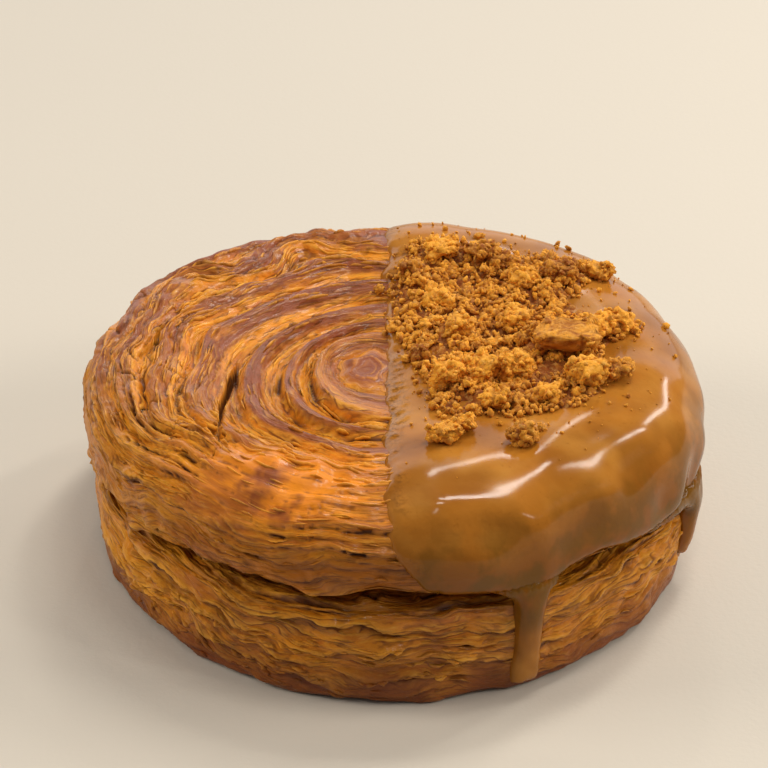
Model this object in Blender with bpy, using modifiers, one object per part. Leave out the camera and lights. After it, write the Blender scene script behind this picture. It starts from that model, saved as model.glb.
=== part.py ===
"""Round croissant roll, half coated in caramel icing under a heap of biscuit crumbs.

The roll is one turned body with a crevice round its waist. Its spiral layers are relief that goes
inwards from a smooth skin, so the icing and the crumbs are laid over that skin and never cut into it.
Run it with: blender --background --python part.py
"""

import math
import random

import bmesh
import bpy
from mathutils import Matrix, Vector
from mathutils.geometry import delaunay_2d_cdt

MM = 0.001

# The roll: heights are above the surface that it rests on
ROLL_RADIUS = 53.4 * MM
ROLL_HEIGHT = 37.6 * MM
DISH_DEPTH = 1.5 * MM  # how far the middle of the top lies under its rim
WAIST_HEIGHT = 22.6 * MM  # the lower lip of the upper half, just above the crevice
CREVICE_GAP = 1.9 * MM
CREVICE_DEPTH = 5.0 * MM
BELLY_RADIUS = 52.4 * MM
FOOT_RADIUS = 50.3 * MM
SET_BACK = 1.3 * MM  # how much narrower the upper half is on its iced side
TURN_STEPS = 80  # facets round the roll
PROFILE_STEP = 1.6 * MM  # the length of a facet along the profile

# The layers: one turn of the rolled dough shows as one band
BAND_RADII = (0.0, 12.4 * MM, 17.6 * MM, 24.4 * MM, 33.9 * MM, 40.8 * MM, 47.4 * MM)
BAND_PITCH = 6.4 * MM  # from one band to the next further out and down the side
BAND_DEPTH = 1.2 * MM
BAND_WAVE = 1.3 * MM  # how far the bands near the rim wander from a true spiral
EYE_SHIFT = 3.8 * MM  # how far the spiral's middle lies towards the front
TURNS_SHIFT = 8.2 * MM  # the same for the turns half way out
SLIT_PATH = ((-26.3 * MM, 0.0 * MM), (-28.4 * MM, -15.5 * MM), (-28.2 * MM, -29.5 * MM))
SLIT_WIDTH = 2.3 * MM
SLIT_DEPTH = 2.2 * MM

# The icing
CLEARANCE = 0.4 * MM  # between two solids that touch
ICING_THICKNESS = 1.7 * MM
ICING_EDGE = 0.35 * MM  # its thickness at the very edge
ICING_ROUNDING = 3.0 * MM  # how far in from the edge it reaches its full thickness
ICING_SPACING = 3.7 * MM
ICING_SIDE = -1.2 * MM  # the nearly straight edge across the top, a little left of the middle
ICING_DRAW_BACK = 9.5 * MM  # how far that edge bends to the right as it comes down the sides
# Each drip: angle round the roll in degrees, half width, how far its tip hangs below the hem
DRIPS = (
    (-65.2, 1.9 * MM, 20.5 * MM),
    (-17.0, 2.2 * MM, 9.3 * MM),
    (27.0, 2.4 * MM, 6.5 * MM),
    (66.0, 1.9 * MM, 9.5 * MM),
)

# The crumbs
# The heap's uneven edge, going round from the front
HEAP_EDGE_PLACES = (
    (8.0 * MM, -22.4 * MM),
    (18.0 * MM, -23.9 * MM),
    (30.0 * MM, -22.9 * MM),
    (37.0 * MM, -15.4 * MM),
    (37.0 * MM, -4.1 * MM),
    (41.0 * MM, 0.6 * MM),
    (45.0 * MM, 5.3 * MM),
    (36.5 * MM, 10.4 * MM),
    (33.5 * MM, 16.6 * MM),
    (40.5 * MM, 26.0 * MM),
    (31.0 * MM, 30.2 * MM),
    (20.0 * MM, 33.0 * MM),
    (9.5 * MM, 38.2 * MM),
    (2.5 * MM, 32.5 * MM),
    (1.5 * MM, 19.4 * MM),
    (1.8 * MM, 6.2 * MM),
    (3.5 * MM, -5.1 * MM),
    (6.0 * MM, -13.5 * MM),
)
HEAP_CORE_HEIGHT = 2.0 * MM
HEAP_CORE_EDGE = 0.5 * MM
HEAP_CORE_INSET = 3.4 * MM  # how far the core's edge lies within the heap's
HEAP_SPACING = 4.6 * MM
CRUMB_COUNT = 106
CRUMB_SIZES = (1.5 * MM, 3.3 * MM)  # the smallest and largest half width
# The largest pieces of the heap: place, length, width and height
CHUNKS = (
    ((29.3 * MM, -0.5 * MM), (10.0 * MM, 6.5 * MM, 3.4 * MM)),
    ((13.0 * MM, -12.1 * MM), (9.0 * MM, 5.0 * MM, 3.8 * MM)),
    ((38.0 * MM, 2.9 * MM), (7.5 * MM, 5.0 * MM, 3.8 * MM)),
    ((33.0 * MM, 22.7 * MM), (8.0 * MM, 5.5 * MM, 4.2 * MM)),
    ((31.5 * MM, -12.6 * MM), (7.0 * MM, 5.5 * MM, 4.0 * MM)),
)
# Clumps of crumbs that lie on the icing, apart from the heap: place and half width
LOOSE_CLUMPS = (
    ((21.4 * MM, -33.8 * MM), 3.0 * MM),
    ((8.3 * MM, -31.9 * MM), 2.8 * MM),
    ((11.8 * MM, -28.7 * MM), 1.9 * MM),
    ((16.3 * MM, -29.9 * MM), 1.2 * MM),
    ((28.9 * MM, -34.6 * MM), 1.2 * MM),
    ((36.4 * MM, -29.9 * MM), 1.2 * MM),
    ((18.5 * MM, 39.1 * MM), 1.4 * MM),
)


def smoothstep(low, high, value):
    """0 below low, 1 above high, and a smooth rise between them."""
    share = min(1.0, max(0.0, (value - low) / (high - low)))
    return share * share * (3.0 - 2.0 * share)


def spline(points, step):
    """A smooth line through the points, read at steps of about one length."""
    ends = [2 * points[0] - points[1], *points, 2 * points[-1] - points[-2]]
    line = []
    for before, start, end, after in zip(ends, ends[1:], ends[2:], ends[3:]):
        pieces = max(1, round((end - start).length / step))
        for i in range(pieces):
            t = i / pieces
            line.append(
                0.5
                * (
                    2 * start
                    + (end - before) * t
                    + (2 * before - 5 * start + 4 * end - after) * t**2
                    + (3 * start - before - 3 * end + after) * t**3
                )
            )
    return [*line, points[-1]]


def skin_line(step):
    """The outer line of the roll from the middle of the top down to the foot, as radius and height."""
    shoulder = ROLL_RADIUS - 11.0 * MM
    drop = ROLL_HEIGHT - DISH_DEPTH
    return spline(
        [
            Vector((0.0, drop)),
            Vector((0.35 * shoulder, drop + 0.15 * DISH_DEPTH)),
            Vector((0.75 * shoulder, drop + 0.65 * DISH_DEPTH)),
            Vector((shoulder, ROLL_HEIGHT)),
            Vector((ROLL_RADIUS - 4.6 * MM, ROLL_HEIGHT - 1.9 * MM)),
            Vector((ROLL_RADIUS - 0.9 * MM, ROLL_HEIGHT - 5.9 * MM)),
            Vector((ROLL_RADIUS, ROLL_HEIGHT - 9.6 * MM)),
            Vector((ROLL_RADIUS - 0.4 * MM, WAIST_HEIGHT + 1.6 * MM)),
            Vector((ROLL_RADIUS - 1.3 * MM, WAIST_HEIGHT - 0.6 * MM)),
            Vector((BELLY_RADIUS - 0.2 * MM, WAIST_HEIGHT - 4.5 * MM)),
            Vector((BELLY_RADIUS, 0.5 * WAIST_HEIGHT)),
            Vector((BELLY_RADIUS - 0.9 * MM, 4.6 * MM)),
            Vector((FOOT_RADIUS + 0.9 * MM, 1.2 * MM)),
            Vector((FOOT_RADIUS, 0.0)),
        ],
        step,
    )


def roll_line():
    """The roll's whole profile: the skin, with the crevice let in at the waist, and the flat base."""
    skin = skin_line(PROFILE_STEP)
    lip = WAIST_HEIGHT
    under = WAIST_HEIGHT - CREVICE_GAP
    upper = [p for p in skin if p.y > lip + 0.3 * PROFILE_STEP]
    lower = [p for p in skin if p.y < under - 0.5 * PROFILE_STEP]
    crevice = [
        Vector((ROLL_RADIUS - 1.3 * MM, lip)),
        Vector((ROLL_RADIUS - 3.2 * MM, lip - 0.5 * MM)),
        Vector((ROLL_RADIUS - CREVICE_DEPTH - 1.5 * MM, lip - 0.7 * MM)),
        Vector((ROLL_RADIUS - CREVICE_DEPTH - 1.5 * MM, under + 0.1 * MM)),
        Vector((BELLY_RADIUS - 2.0 * MM, under - 0.1 * MM)),
    ]
    base = [Vector((share * FOOT_RADIUS, 0.0)) for share in (0.55, 0.0)]
    return upper + crevice + lower + base


def swell(theta):
    """How far the uneven outline stands out from a true circle."""
    return (
        0.55 * math.cos(2.0 * theta + 0.95)
        + 0.58 * math.cos(3.0 * theta - 1.89)
        + 0.39 * math.cos(4.0 * theta + 2.12)
        + 0.23 * math.cos(5.0 * theta + 1.9)
    ) * MM


def set_back(theta, z):
    """How far the upper half lies further in where the icing will cover it."""
    return SET_BACK * smoothstep(0.1, 0.6, math.cos(theta)) * smoothstep(-0.5 * MM, 0.5 * MM, z - WAIST_HEIGHT)


def droop(theta, z):
    """How far the lips of the crevice hang lower at the two sides than at the front and back."""
    nearness = math.exp(-(((z - WAIST_HEIGHT) / (8.0 * MM)) ** 2))
    return -2.2 * MM * math.cos(theta) ** 2 * nearness


def settled(r, z, theta):
    """A point of the turned profile, moved to where the uneven roll has it."""
    outward = smoothstep(0.4 * ROLL_RADIUS, 0.9 * ROLL_RADIUS, r)
    out = r + (swell(theta) - set_back(theta, z)) * outward
    return Vector((out * math.cos(theta), out * math.sin(theta), z + droop(theta, z)))


def layer_radius(x, y, z):
    """How far out through the rolled dough a point lies. It is the same all along one layer."""
    r = math.hypot(x, y)
    shift = EYE_SHIFT + (TURNS_SHIFT - EYE_SHIFT) * smoothstep(3 * MM, 24 * MM, r)
    shift *= 1.0 - smoothstep(34 * MM, 52 * MM, r)
    theta = math.atan2(y, x)
    wave = math.sin(7.0 * theta + r / (9.0 * MM)) + 0.6 * math.sin(12.0 * theta - r / (6.0 * MM))
    wave *= BAND_WAVE * smoothstep(24 * MM, 42 * MM, r) * smoothstep(4 * MM, 30 * MM, z)
    down = (ROLL_HEIGHT - z) * smoothstep(40 * MM, 48 * MM, r)
    return math.hypot(x, y + shift) + wave + down


def band_count(u):
    """How many bands lie within a layer. It is whole on a crest."""
    for count, (low, high) in enumerate(zip(BAND_RADII, BAND_RADII[1:])):
        if u < high:
            return count + (u - low) / (high - low)
    return len(BAND_RADII) - 1 + (u - BAND_RADII[-1]) / BAND_PITCH


def segment_distance(point, start, end):
    """How far a point in the plane lies from a straight stretch."""
    along = end - start
    share = min(1.0, max(0.0, (point - start).dot(along) / along.length_squared))
    return (point - start - share * along).length


def slit_depth(x, y):
    """The long crack between two turns on the left of the top."""
    path = [Vector(p) for p in SLIT_PATH]
    away = min(segment_distance(Vector((x, y)), a, b) for a, b in zip(path, path[1:]))
    return SLIT_DEPTH * (1.0 - smoothstep(0.0, SLIT_WIDTH, away))


def bare_share(x, y, z):
    """1 where the pastry shows its layers, 0 under the icing, in the crevice and on the base."""
    r = math.hypot(x, y)
    iced = smoothstep(ICING_SIDE - 5 * MM, ICING_SIDE - 1 * MM, x)
    iced *= smoothstep(WAIST_HEIGHT - 6 * MM, WAIST_HEIGHT - 3 * MM, z)
    inside = 1.0 - smoothstep(BELLY_RADIUS - 4 * MM, BELLY_RADIUS - 2 * MM, r)
    inside *= 1.0 - smoothstep(WAIST_HEIGHT + 4 * MM, WAIST_HEIGHT + 8 * MM, z)
    return (1.0 - iced) * (1.0 - inside) * smoothstep(0.5 * MM, 3 * MM, z)


def relief(x, y, z):
    """How far a point of the skin sinks in between two layers. The crests stay on the skin."""
    one_turn = smoothstep(math.radians(-80), math.radians(80), math.atan2(y, x)) if x > 0 else 0.0
    turns = band_count(layer_radius(x, y, z)) - one_turn
    valley = 1.0 - abs(math.cos(math.pi * turns)) ** 0.8
    slit = slit_depth(x, y) if z > WAIST_HEIGHT + 6 * MM else 0.0
    return -(BAND_DEPTH * valley + slit) * bare_share(x, y, z)


class Skin:
    """The smooth skin as a map from the flat: a point's distance from the middle runs down the side."""

    def __init__(self):
        self.line = skin_line(0.5 * MM)
        self.along = [0.0]
        for a, b in zip(self.line, self.line[1:]):
            self.along.append(self.along[-1] + (b - a).length)

    def profile(self, s):
        """Radius and height at a length s along the profile."""
        i = next((k for k, a in enumerate(self.along[1:]) if a >= s), len(self.line) - 2)
        share = (s - self.along[i]) / (self.along[i + 1] - self.along[i])
        return self.line[i].lerp(self.line[i + 1], min(1.0, share))

    def length_at(self, height):
        """How far along the profile the side comes down to a height."""
        return next(a for a, p in zip(self.along, self.line) if p.x > 0.9 * BELLY_RADIUS and p.y <= height)

    def point(self, x, y):
        s = math.hypot(x, y)
        place = self.profile(s)
        return settled(place.x, place.y, math.atan2(y, x))

    def normal(self, x, y):
        step = 0.2 * MM
        ahead = self.point(x + step, y) - self.point(x - step, y)
        left = self.point(x, y + step) - self.point(x, y - step)
        return ahead.cross(left).normalized()


SKIN = Skin()


def new_material(name, colour, roughness):
    """A Principled BSDF with one colour and roughness."""
    material = bpy.data.materials.new(name)
    material.use_nodes = True
    shader = material.node_tree.nodes["Principled BSDF"]
    shader.inputs["Base Color"].default_value = (*colour, 1.0)
    shader.inputs["Roughness"].default_value = roughness
    shader.inputs["Metallic"].default_value = 0.0
    return material


def new_object(name, mesh, collection, material=None):
    """An object of the mesh, in one collection."""
    made = bpy.data.objects.new(name, mesh)
    collection.objects.link(made)
    if material:
        made.data.materials.append(material)
    return made


def applied(obj):
    """The object with its modifiers applied to its mesh."""
    graph = bpy.context.evaluated_depsgraph_get()
    mesh = bpy.data.meshes.new_from_object(obj.evaluated_get(graph))
    obj.modifiers.clear()
    obj.data = mesh
    return obj


def add_decimate_under_icing(roll):
    """Fewer facets where the icing hides the roll."""
    hidden = roll.vertex_groups.new(name="under_icing")
    for vertex in roll.data.vertices:
        x, y, z = vertex.co
        if x > 2 * MM and z > WAIST_HEIGHT + 2 * MM:
            hidden.add([vertex.index], 1.0, "REPLACE")
    thin = roll.modifiers.new("fewer_under_icing", "DECIMATE")
    thin.vertex_group = hidden.name
    thin.ratio = 0.72


def make_roll(collection, material):
    """The pastry: its profile turned about Z, settled out of round, with the layers sunk in."""
    mesh = bpy.data.meshes.new("roll")
    bm = bmesh.new()
    corners = [bm.verts.new((p.x, 0.0, p.y)) for p in roll_line()]
    for a, b in zip(corners, corners[1:]):
        bm.edges.new((a, b))
    bm.to_mesh(mesh)
    bm.free()
    roll = new_object("roll", mesh, collection, material)
    screw = roll.modifiers.new("turn", "SCREW")
    screw.steps = screw.render_steps = TURN_STEPS
    screw.use_merge_vertices = True
    screw.merge_threshold = 0.01 * MM
    applied(roll)

    bm = bmesh.new()
    bm.from_mesh(roll.data)
    for vertex in bm.verts:
        x, y, z = vertex.co
        vertex.co = settled(math.hypot(x, y), z, math.atan2(y, x))
    bm.normal_update()
    sunk = [v.co + v.normal * relief(*v.co) for v in bm.verts]
    for vertex, place in zip(bm.verts, sunk):
        vertex.co = place
    bm.to_mesh(roll.data)
    bm.free()
    add_decimate_under_icing(roll)
    return applied(roll)


def icing_reach(angle):
    """How far out from the middle the icing's hem lies, along the skin, with its drips."""
    hem = SKIN.length_at(WAIST_HEIGHT) + (
        0.9 * math.cos(2.0 * angle - 0.3) + 0.7 * math.cos(5.0 * angle + 0.6) - 0.2
    ) * MM
    hem += 2.0 * MM * math.exp(-(((angle - math.radians(-12)) / 0.30) ** 2))
    hem -= 2.4 * MM * math.exp(-(((angle - math.radians(-51)) / 0.16) ** 2))
    for degrees, half_width, hang in DRIPS:
        across = abs(angle - math.radians(degrees)) * ROLL_RADIUS
        hem += hang * (1.0 - smoothstep(0.55 * half_width, 1.9 * half_width, across)) ** 0.7
    return hem


def icing_outline():
    """The icing's edge on the flat: down the front, round the hem and back across the top."""
    fine = math.radians(1.0)
    coarse = math.radians(4.0)
    start, end = math.radians(-82.5), math.radians(82.5)
    hem = []
    angle = start
    while angle < end:
        hem.append(icing_reach(angle) * Vector((math.cos(angle), math.sin(angle))))
        near_drip = any(abs(math.degrees(angle) - drip[0]) < 6.0 for drip in DRIPS)
        angle += fine if near_drip else coarse
    back, front = hem[-1].y, hem[0].y
    steps = round((back - front) / ICING_SPACING)
    side = []
    for i in range(1, steps):
        y = back + i * (front - back) / steps
        wave = 0.9 * math.sin(y / (6.5 * MM)) + 0.5 * math.sin(y / (2.9 * MM))
        drawn_back = ICING_DRAW_BACK * smoothstep(51 * MM, 67 * MM, abs(y)) ** 1.2
        side.append(Vector((ICING_SIDE + wave * MM + drawn_back, y)))
    return hem + side


def filled(outline, spacing, margin):
    """Points on and inside a closed outline, and the triangles between them."""
    low = Vector((min(p.x for p in outline), min(p.y for p in outline)))
    high = Vector((max(p.x for p in outline), max(p.y for p in outline)))
    edges = [(i, (i + 1) % len(outline)) for i in range(len(outline))]
    inner = []
    row_height = spacing * math.sqrt(0.75)
    for row in range(int((high.y - low.y) / row_height) + 1):
        for column in range(int((high.x - low.x) / spacing) + 1):
            shift = 0.5 * spacing if row % 2 else 0.0
            inner.append(low + Vector((column * spacing + shift, row * row_height)))
    inner = [p for p in inner if edge_distance(p, outline) > margin and is_inside(p, outline)]
    points, _, faces, *_ = delaunay_2d_cdt(outline + inner, edges, [], 1, 0.0)
    return points, faces


def edge_distance(point, outline):
    """How far a point lies from a closed outline."""
    return min(segment_distance(point, a, b) for a, b in zip(outline, outline[1:] + outline[:1]))


def is_inside(point, outline):
    """True if the point is inside the closed outline."""
    inside = False
    for a, b in zip(outline, outline[1:] + outline[:1]):
        if (a.y > point.y) != (b.y > point.y):
            inside ^= point.x < a.x + (b.x - a.x) * (point.y - a.y) / (b.y - a.y)
    return inside


def laid_sheet(name, outline, spacing, lift, thickness, collection, material):
    """A solid laid over the skin: a sheet at a lift above it, thickened outwards by a function."""
    points, faces = filled(outline, spacing, 0.6 * spacing)
    mesh = bpy.data.meshes.new(name)
    bm = bmesh.new()
    corners = [bm.verts.new(SKIN.point(*p) + lift * SKIN.normal(*p)) for p in points]
    for face in faces:
        bm.faces.new([corners[i] for i in face])
    bmesh.ops.recalc_face_normals(bm, faces=bm.faces)
    if sum(f.normal.z for f in bm.faces) < 0:
        bmesh.ops.reverse_faces(bm, faces=bm.faces)
    bm.to_mesh(mesh)
    bm.free()
    sheet = new_object(name, mesh, collection, material)
    full = max(thickness(p, outline) for p in points)
    build_up = sheet.vertex_groups.new(name="build_up")
    for index, point in enumerate(points):
        build_up.add([index], thickness(point, outline) / full, "REPLACE")
    shell = sheet.modifiers.new("thickness", "SOLIDIFY")
    shell.thickness = full
    shell.offset = 1.0
    shell.vertex_group = build_up.name
    return applied(sheet)


def icing_thickness(point, outline):
    """Full in the middle, rounding off to a thin edge."""
    share = min(1.0, edge_distance(point, outline) / ICING_ROUNDING)
    return ICING_EDGE + (ICING_THICKNESS - ICING_EDGE) * math.sqrt(share * (2.0 - share))


def crumb(name, place, half_width, chance, collection, material, lift, size=None):
    """One rough crumb with its middle at a lift above a point of the skin."""
    bm = bmesh.new()
    bmesh.ops.create_icosphere(bm, subdivisions=1, radius=half_width)
    for vertex in bm.verts:
        vertex.co *= chance.uniform(0.72, 1.12)
    squash = Matrix.Diagonal((chance.uniform(0.9, 1.3), chance.uniform(0.8, 1.1), chance.uniform(0.6, 0.9), 1.0))
    turn = Matrix.Rotation(chance.uniform(0.0, math.tau), 4, "Z")
    tilt = Matrix.Rotation(chance.uniform(-0.6, 0.6), 4, "X")
    if size:
        squash = Matrix.Diagonal((size[0] / size[2], size[1] / size[2], 1.0, 1.0))
        turn = Matrix.Rotation(chance.uniform(-0.5, 0.5), 4, "Z")
        tilt = Matrix.Rotation(chance.uniform(-0.15, 0.15), 4, "X")
    middle = SKIN.point(*place) + lift * SKIN.normal(*place)
    bmesh.ops.transform(bm, matrix=Matrix.Translation(middle) @ turn @ tilt @ squash, verts=bm.verts)
    mesh = bpy.data.meshes.new(name)
    bm.to_mesh(mesh)
    bm.free()
    return new_object(name, mesh, collection, material)


def keep_one_body(obj):
    """Keep the largest body of the mesh: sealed hollows are filled and loose scraps dropped."""
    bm = bmesh.new()
    bm.from_mesh(obj.data)
    left = set(bm.verts)
    bodies = []
    while left:
        body = []
        edge = [left.pop()]
        while edge:
            vertex = edge.pop()
            body.append(vertex)
            near = {e.other_vert(vertex) for e in vertex.link_edges} & left
            left -= near
            edge += near
        bodies.append(body)
    bodies.sort(key=len)
    bmesh.ops.delete(bm, geom=[v for body in bodies[:-1] for v in body], context="VERTS")
    bm.to_mesh(obj.data)
    bm.free()
    return obj


def fuse(target, pieces, name):
    """One Boolean union of the pieces with the target. The pieces are removed."""
    join = target.modifiers.new(name, "BOOLEAN")
    join.operation = "UNION"
    join.operand_type = "COLLECTION"
    join.collection = pieces
    join.solver = "MANIFOLD"
    applied(target)
    for piece in list(pieces.objects):
        bpy.data.objects.remove(piece)
    bpy.data.collections.remove(pieces)
    return keep_one_body(target)


def new_collection(name):
    """A collection in the scene."""
    made = bpy.data.collections.new(name)
    bpy.context.scene.collection.children.link(made)
    return made


def make_icing(collection, material):
    """The icing over half of the top, with its drips and the clumps of crumbs stuck on it."""
    icing = laid_sheet(
        "icing", icing_outline(), ICING_SPACING, CLEARANCE, icing_thickness, collection, material
    )
    chance = random.Random(11)
    clumps = new_collection("clumps")
    for number, (place, half_width) in enumerate(LOOSE_CLUMPS):
        lift = CLEARANCE + 0.7 * ICING_THICKNESS + 0.45 * half_width
        crumb(f"clump_{number}", place, half_width, chance, clumps, material, lift)
    return fuse(icing, clumps, "stick_clumps")


def heap_outline(inset):
    """The heap's uneven edge on the flat, drawn in towards its middle by an inset."""
    places = [Vector(p) for p in HEAP_EDGE_PLACES]
    round_trip = spline(places[-2:] + places + places[:2], 4.5 * MM)
    start = round_trip.index(places[0])
    edge = round_trip[start : start + len(spline(places + places[:1], 4.5 * MM)) - 1]
    middle = sum(places, Vector((0.0, 0.0))) / len(places)
    return [p + inset * (middle - p).normalized() for p in edge]


def heap_thickness(point, outline):
    """The core of the heap: low at the edge, with soft ridges across it."""
    inward = smoothstep(0.0, 8 * MM, edge_distance(point, outline))
    ridges = 0.75 + 0.25 * math.cos((point.y + 10 * MM) / (5.2 * MM))
    return HEAP_CORE_EDGE + (HEAP_CORE_HEIGHT - HEAP_CORE_EDGE) * inward * ridges


def spread_places(outline, count, chance):
    """Places inside the outline, each new one the farthest from the others of a few tries."""
    low = Vector((min(p.x for p in outline), min(p.y for p in outline)))
    high = Vector((max(p.x for p in outline), max(p.y for p in outline)))
    places = []
    while len(places) < count:
        tries = []
        while len(tries) < 12:
            point = Vector((chance.uniform(low.x, high.x), chance.uniform(low.y, high.y)))
            if is_inside(point, outline):
                tries.append(point)
        places.append(max(tries, key=lambda p: min([(p - q).length for q in places], default=1.0)))
    return places


def make_heap(collection, material):
    """The heap of crumbs: a low core with the crumbs that show fused on."""
    core_edge = heap_outline(HEAP_CORE_INSET)
    lift = 2 * CLEARANCE + ICING_THICKNESS
    heap = laid_sheet("crumb_heap", core_edge, HEAP_SPACING, lift, heap_thickness, collection, material)
    chance = random.Random(23)
    crumbs = new_collection("crumbs")
    for number, (place, size) in enumerate(CHUNKS):
        rise = lift + HEAP_CORE_HEIGHT + 0.2 * size[2]
        crumb(f"chunk_{number}", place, 0.5 * size[2], chance, crumbs, material, rise, size)
    smallest, largest = CRUMB_SIZES
    for number, place in enumerate(spread_places(heap_outline(0.0), CRUMB_COUNT, chance)):
        half_width = smallest + (largest - smallest) * chance.random() ** 1.3
        core = heap_thickness(place, core_edge) if is_inside(place, core_edge) else 0.0
        rise = lift + max(core, half_width * 1.05)
        crumb(f"crumb_{number}", place, half_width, chance, crumbs, material, rise)
    return fuse(heap, crumbs, "fuse_crumbs")


def main():
    for obj in list(bpy.data.objects):
        bpy.data.objects.remove(obj)
    parts = new_collection("croissant_roll")
    pastry = new_material("baked_pastry", (0.42, 0.19, 0.045), 0.5)
    caramel = new_material("caramel_icing", (0.40, 0.19, 0.055), 0.2)
    biscuit = new_material("biscuit", (0.45, 0.17, 0.03), 0.85)
    make_roll(parts, pastry)
    make_icing(parts, caramel)
    make_heap(parts, biscuit)


main()
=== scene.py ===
"""A round croissant roll: spiral layers of browned pastry, one half under caramel icing, with
biscuit crumbs heaped on the icing.

Run it as a script in Blender 4.5. Lengths are in millimetres up to new_mesh, which turns them
into metres. The lamps and the camera's distance are in metres. The roll's middle is at the
origin, +Z is up and +X is towards the iced half.
"""

import math

import bpy
import numpy as np
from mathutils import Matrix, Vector
from mathutils.geometry import delaunay_2d_cdt


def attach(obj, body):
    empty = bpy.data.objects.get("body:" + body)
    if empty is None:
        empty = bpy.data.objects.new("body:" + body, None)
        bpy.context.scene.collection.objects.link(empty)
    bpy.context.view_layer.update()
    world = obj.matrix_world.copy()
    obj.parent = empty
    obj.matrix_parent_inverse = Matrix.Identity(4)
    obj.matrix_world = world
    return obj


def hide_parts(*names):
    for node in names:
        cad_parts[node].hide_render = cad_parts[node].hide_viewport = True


bl_info = {
    "name": "Croissant roll",
    "version": (1, 0, 0),
    "blender": (4, 5, 0),
    "location": "3D View > Sidebar > Roll",
    "description": "Builds a laminated pastry roll with caramel icing and biscuit crumbs",
    "category": "Add Mesh",
}

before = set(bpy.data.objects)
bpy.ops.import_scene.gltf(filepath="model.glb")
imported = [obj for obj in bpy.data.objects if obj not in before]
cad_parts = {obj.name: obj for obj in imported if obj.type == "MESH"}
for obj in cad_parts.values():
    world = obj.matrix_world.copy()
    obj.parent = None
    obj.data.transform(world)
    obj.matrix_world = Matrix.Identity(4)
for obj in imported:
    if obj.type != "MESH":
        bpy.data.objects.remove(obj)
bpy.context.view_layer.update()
M = 0.001  # metres in a millimetre

# The solids' own sizes, repeated from the part's source
ROLL_RADIUS = 53.4
ROLL_HEIGHT = 37.6
DISH_DEPTH = 1.5
WAIST_HEIGHT = 22.6
CREVICE_GAP = 1.9
BELLY_RADIUS = 52.4
FOOT_RADIUS = 50.3
SET_BACK = 1.3
BAND_RADII = (0.0, 12.4, 17.6, 24.4, 33.9, 40.8, 47.4)
BAND_PITCH = 6.4
EYE_SHIFT = 3.8
EYE_ASIDE = 4.5
TURNS_SHIFT = 8.2
SLIT_PATH = ((-26.3, 0.0), (-28.4, -15.5), (-28.2, -29.5))
ICING_SIDE = -1.2
# Each drip: angle in degrees, half width, how far its tip hangs below the hem
DRIPS = ((-65.2, 1.9, 20.5), (-17.0, 2.2, 9.3), (27.0, 2.4, 6.5), (66.0, 1.9, 9.5))
# The outline's waves: how many go round, height, start
OUTLINE_WAVES = ((2, 0.55, 0.95), (3, 0.58, -1.89), (4, 0.39, 2.12), (5, 0.23, 1.9))
# The heap's uneven edge, going round from the front
HEAP_EDGE_PLACES = (
    (8.0, -22.4), (18.0, -23.9), (30.0, -22.9), (37.0, -15.4), (37.0, -4.1), (41.0, 0.6),
    (45.0, 5.3), (36.5, 10.4), (33.5, 16.6), (40.5, 26.0), (31.0, 30.2), (20.0, 33.0),
    (9.5, 38.2), (2.5, 32.5), (0.0, 19.4), (0.8, 6.2), (3.5, -5.1), (6.0, -13.5),
)


# ---- numbers and noise


def rise(low, high, value):
    """0 at low, 1 at high, and smooth between them."""
    share = np.clip((value - low) / (high - low), 0.0, 1.0)
    return share * share * (3.0 - 2.0 * share)


def bell(value, width):
    """1 at 0, and softly down to nothing on both sides."""
    return np.exp(-((value / width) ** 2))


def hill(x, y, px, py, wide, deep):
    """1 at a place on the flat, and softly down to nothing round it."""
    return np.exp(-(((x - px) / wide) ** 2) - ((y - py) / deep) ** 2)


class Noise:
    """Seeded gradient noise over space, from about -1 to 1, one cell to a unit."""

    def __init__(self, seed):
        chance = np.random.default_rng(seed)
        self.order = chance.permutation(256)
        slopes = chance.normal(size=(256, 3))
        self.slopes = slopes / np.linalg.norm(slopes, axis=1)[:, None]

    def __call__(self, x, y, z=0.0):
        place = np.stack(np.broadcast_arrays(x, y, z), axis=-1).astype(float)
        cell = np.floor(place).astype(int)
        inside = place - cell
        ease = inside**3 * (inside * (inside * 6 - 15) + 10)
        total = 0.0
        for corner in np.ndindex(2, 2, 2):
            at = (cell + corner) & 255
            key = self.order[(self.order[(self.order[at[..., 0]] + at[..., 1]) & 255] + at[..., 2]) & 255]
            share = np.prod(np.where(corner, ease, 1 - ease), axis=-1)
            total = total + share * np.sum(self.slopes[key] * (inside - corner), axis=-1)
        return 1.5 * total

    def rough(self, x, y, z=0.0, octaves=3):
        """The sum of several octaves, each half as strong and twice as fine."""
        return sum(self(x * 2**k + 7 * k, y * 2**k, z * 2**k) / 2**k for k in range(octaves))


def spline(points, step):
    """A smooth line through the points, read at steps of about one length."""
    points = np.asarray(points, float)
    ends = np.vstack([2 * points[0] - points[1], points, 2 * points[-1] - points[-2]])
    line = []
    for a, b, c, d in zip(ends, ends[1:], ends[2:], ends[3:]):
        pieces = max(1, round(float(np.linalg.norm(c - b)) / step))
        square, cube = 2 * a - 5 * b + 4 * c - d, 3 * b - a - 3 * c + d
        for t in np.arange(pieces) / pieces:
            line.append(0.5 * (2 * b + (c - a) * t + square * t**2 + cube * t**3))
    return np.array([*line, points[-1]])


def lengths(line):
    """How far along a line each of its points lies."""
    return np.concatenate([[0.0], np.cumsum(np.linalg.norm(np.diff(line, axis=0), axis=1))])


def evenly(line, step):
    """The line read at even steps of about one length."""
    along = lengths(line)
    marks = np.linspace(0.0, along[-1], round(along[-1] / step) + 1)
    return np.stack([np.interp(marks, along, line[:, k]) for k in range(line.shape[1])], axis=-1)


# ---- the shape of the whole roll


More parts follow.
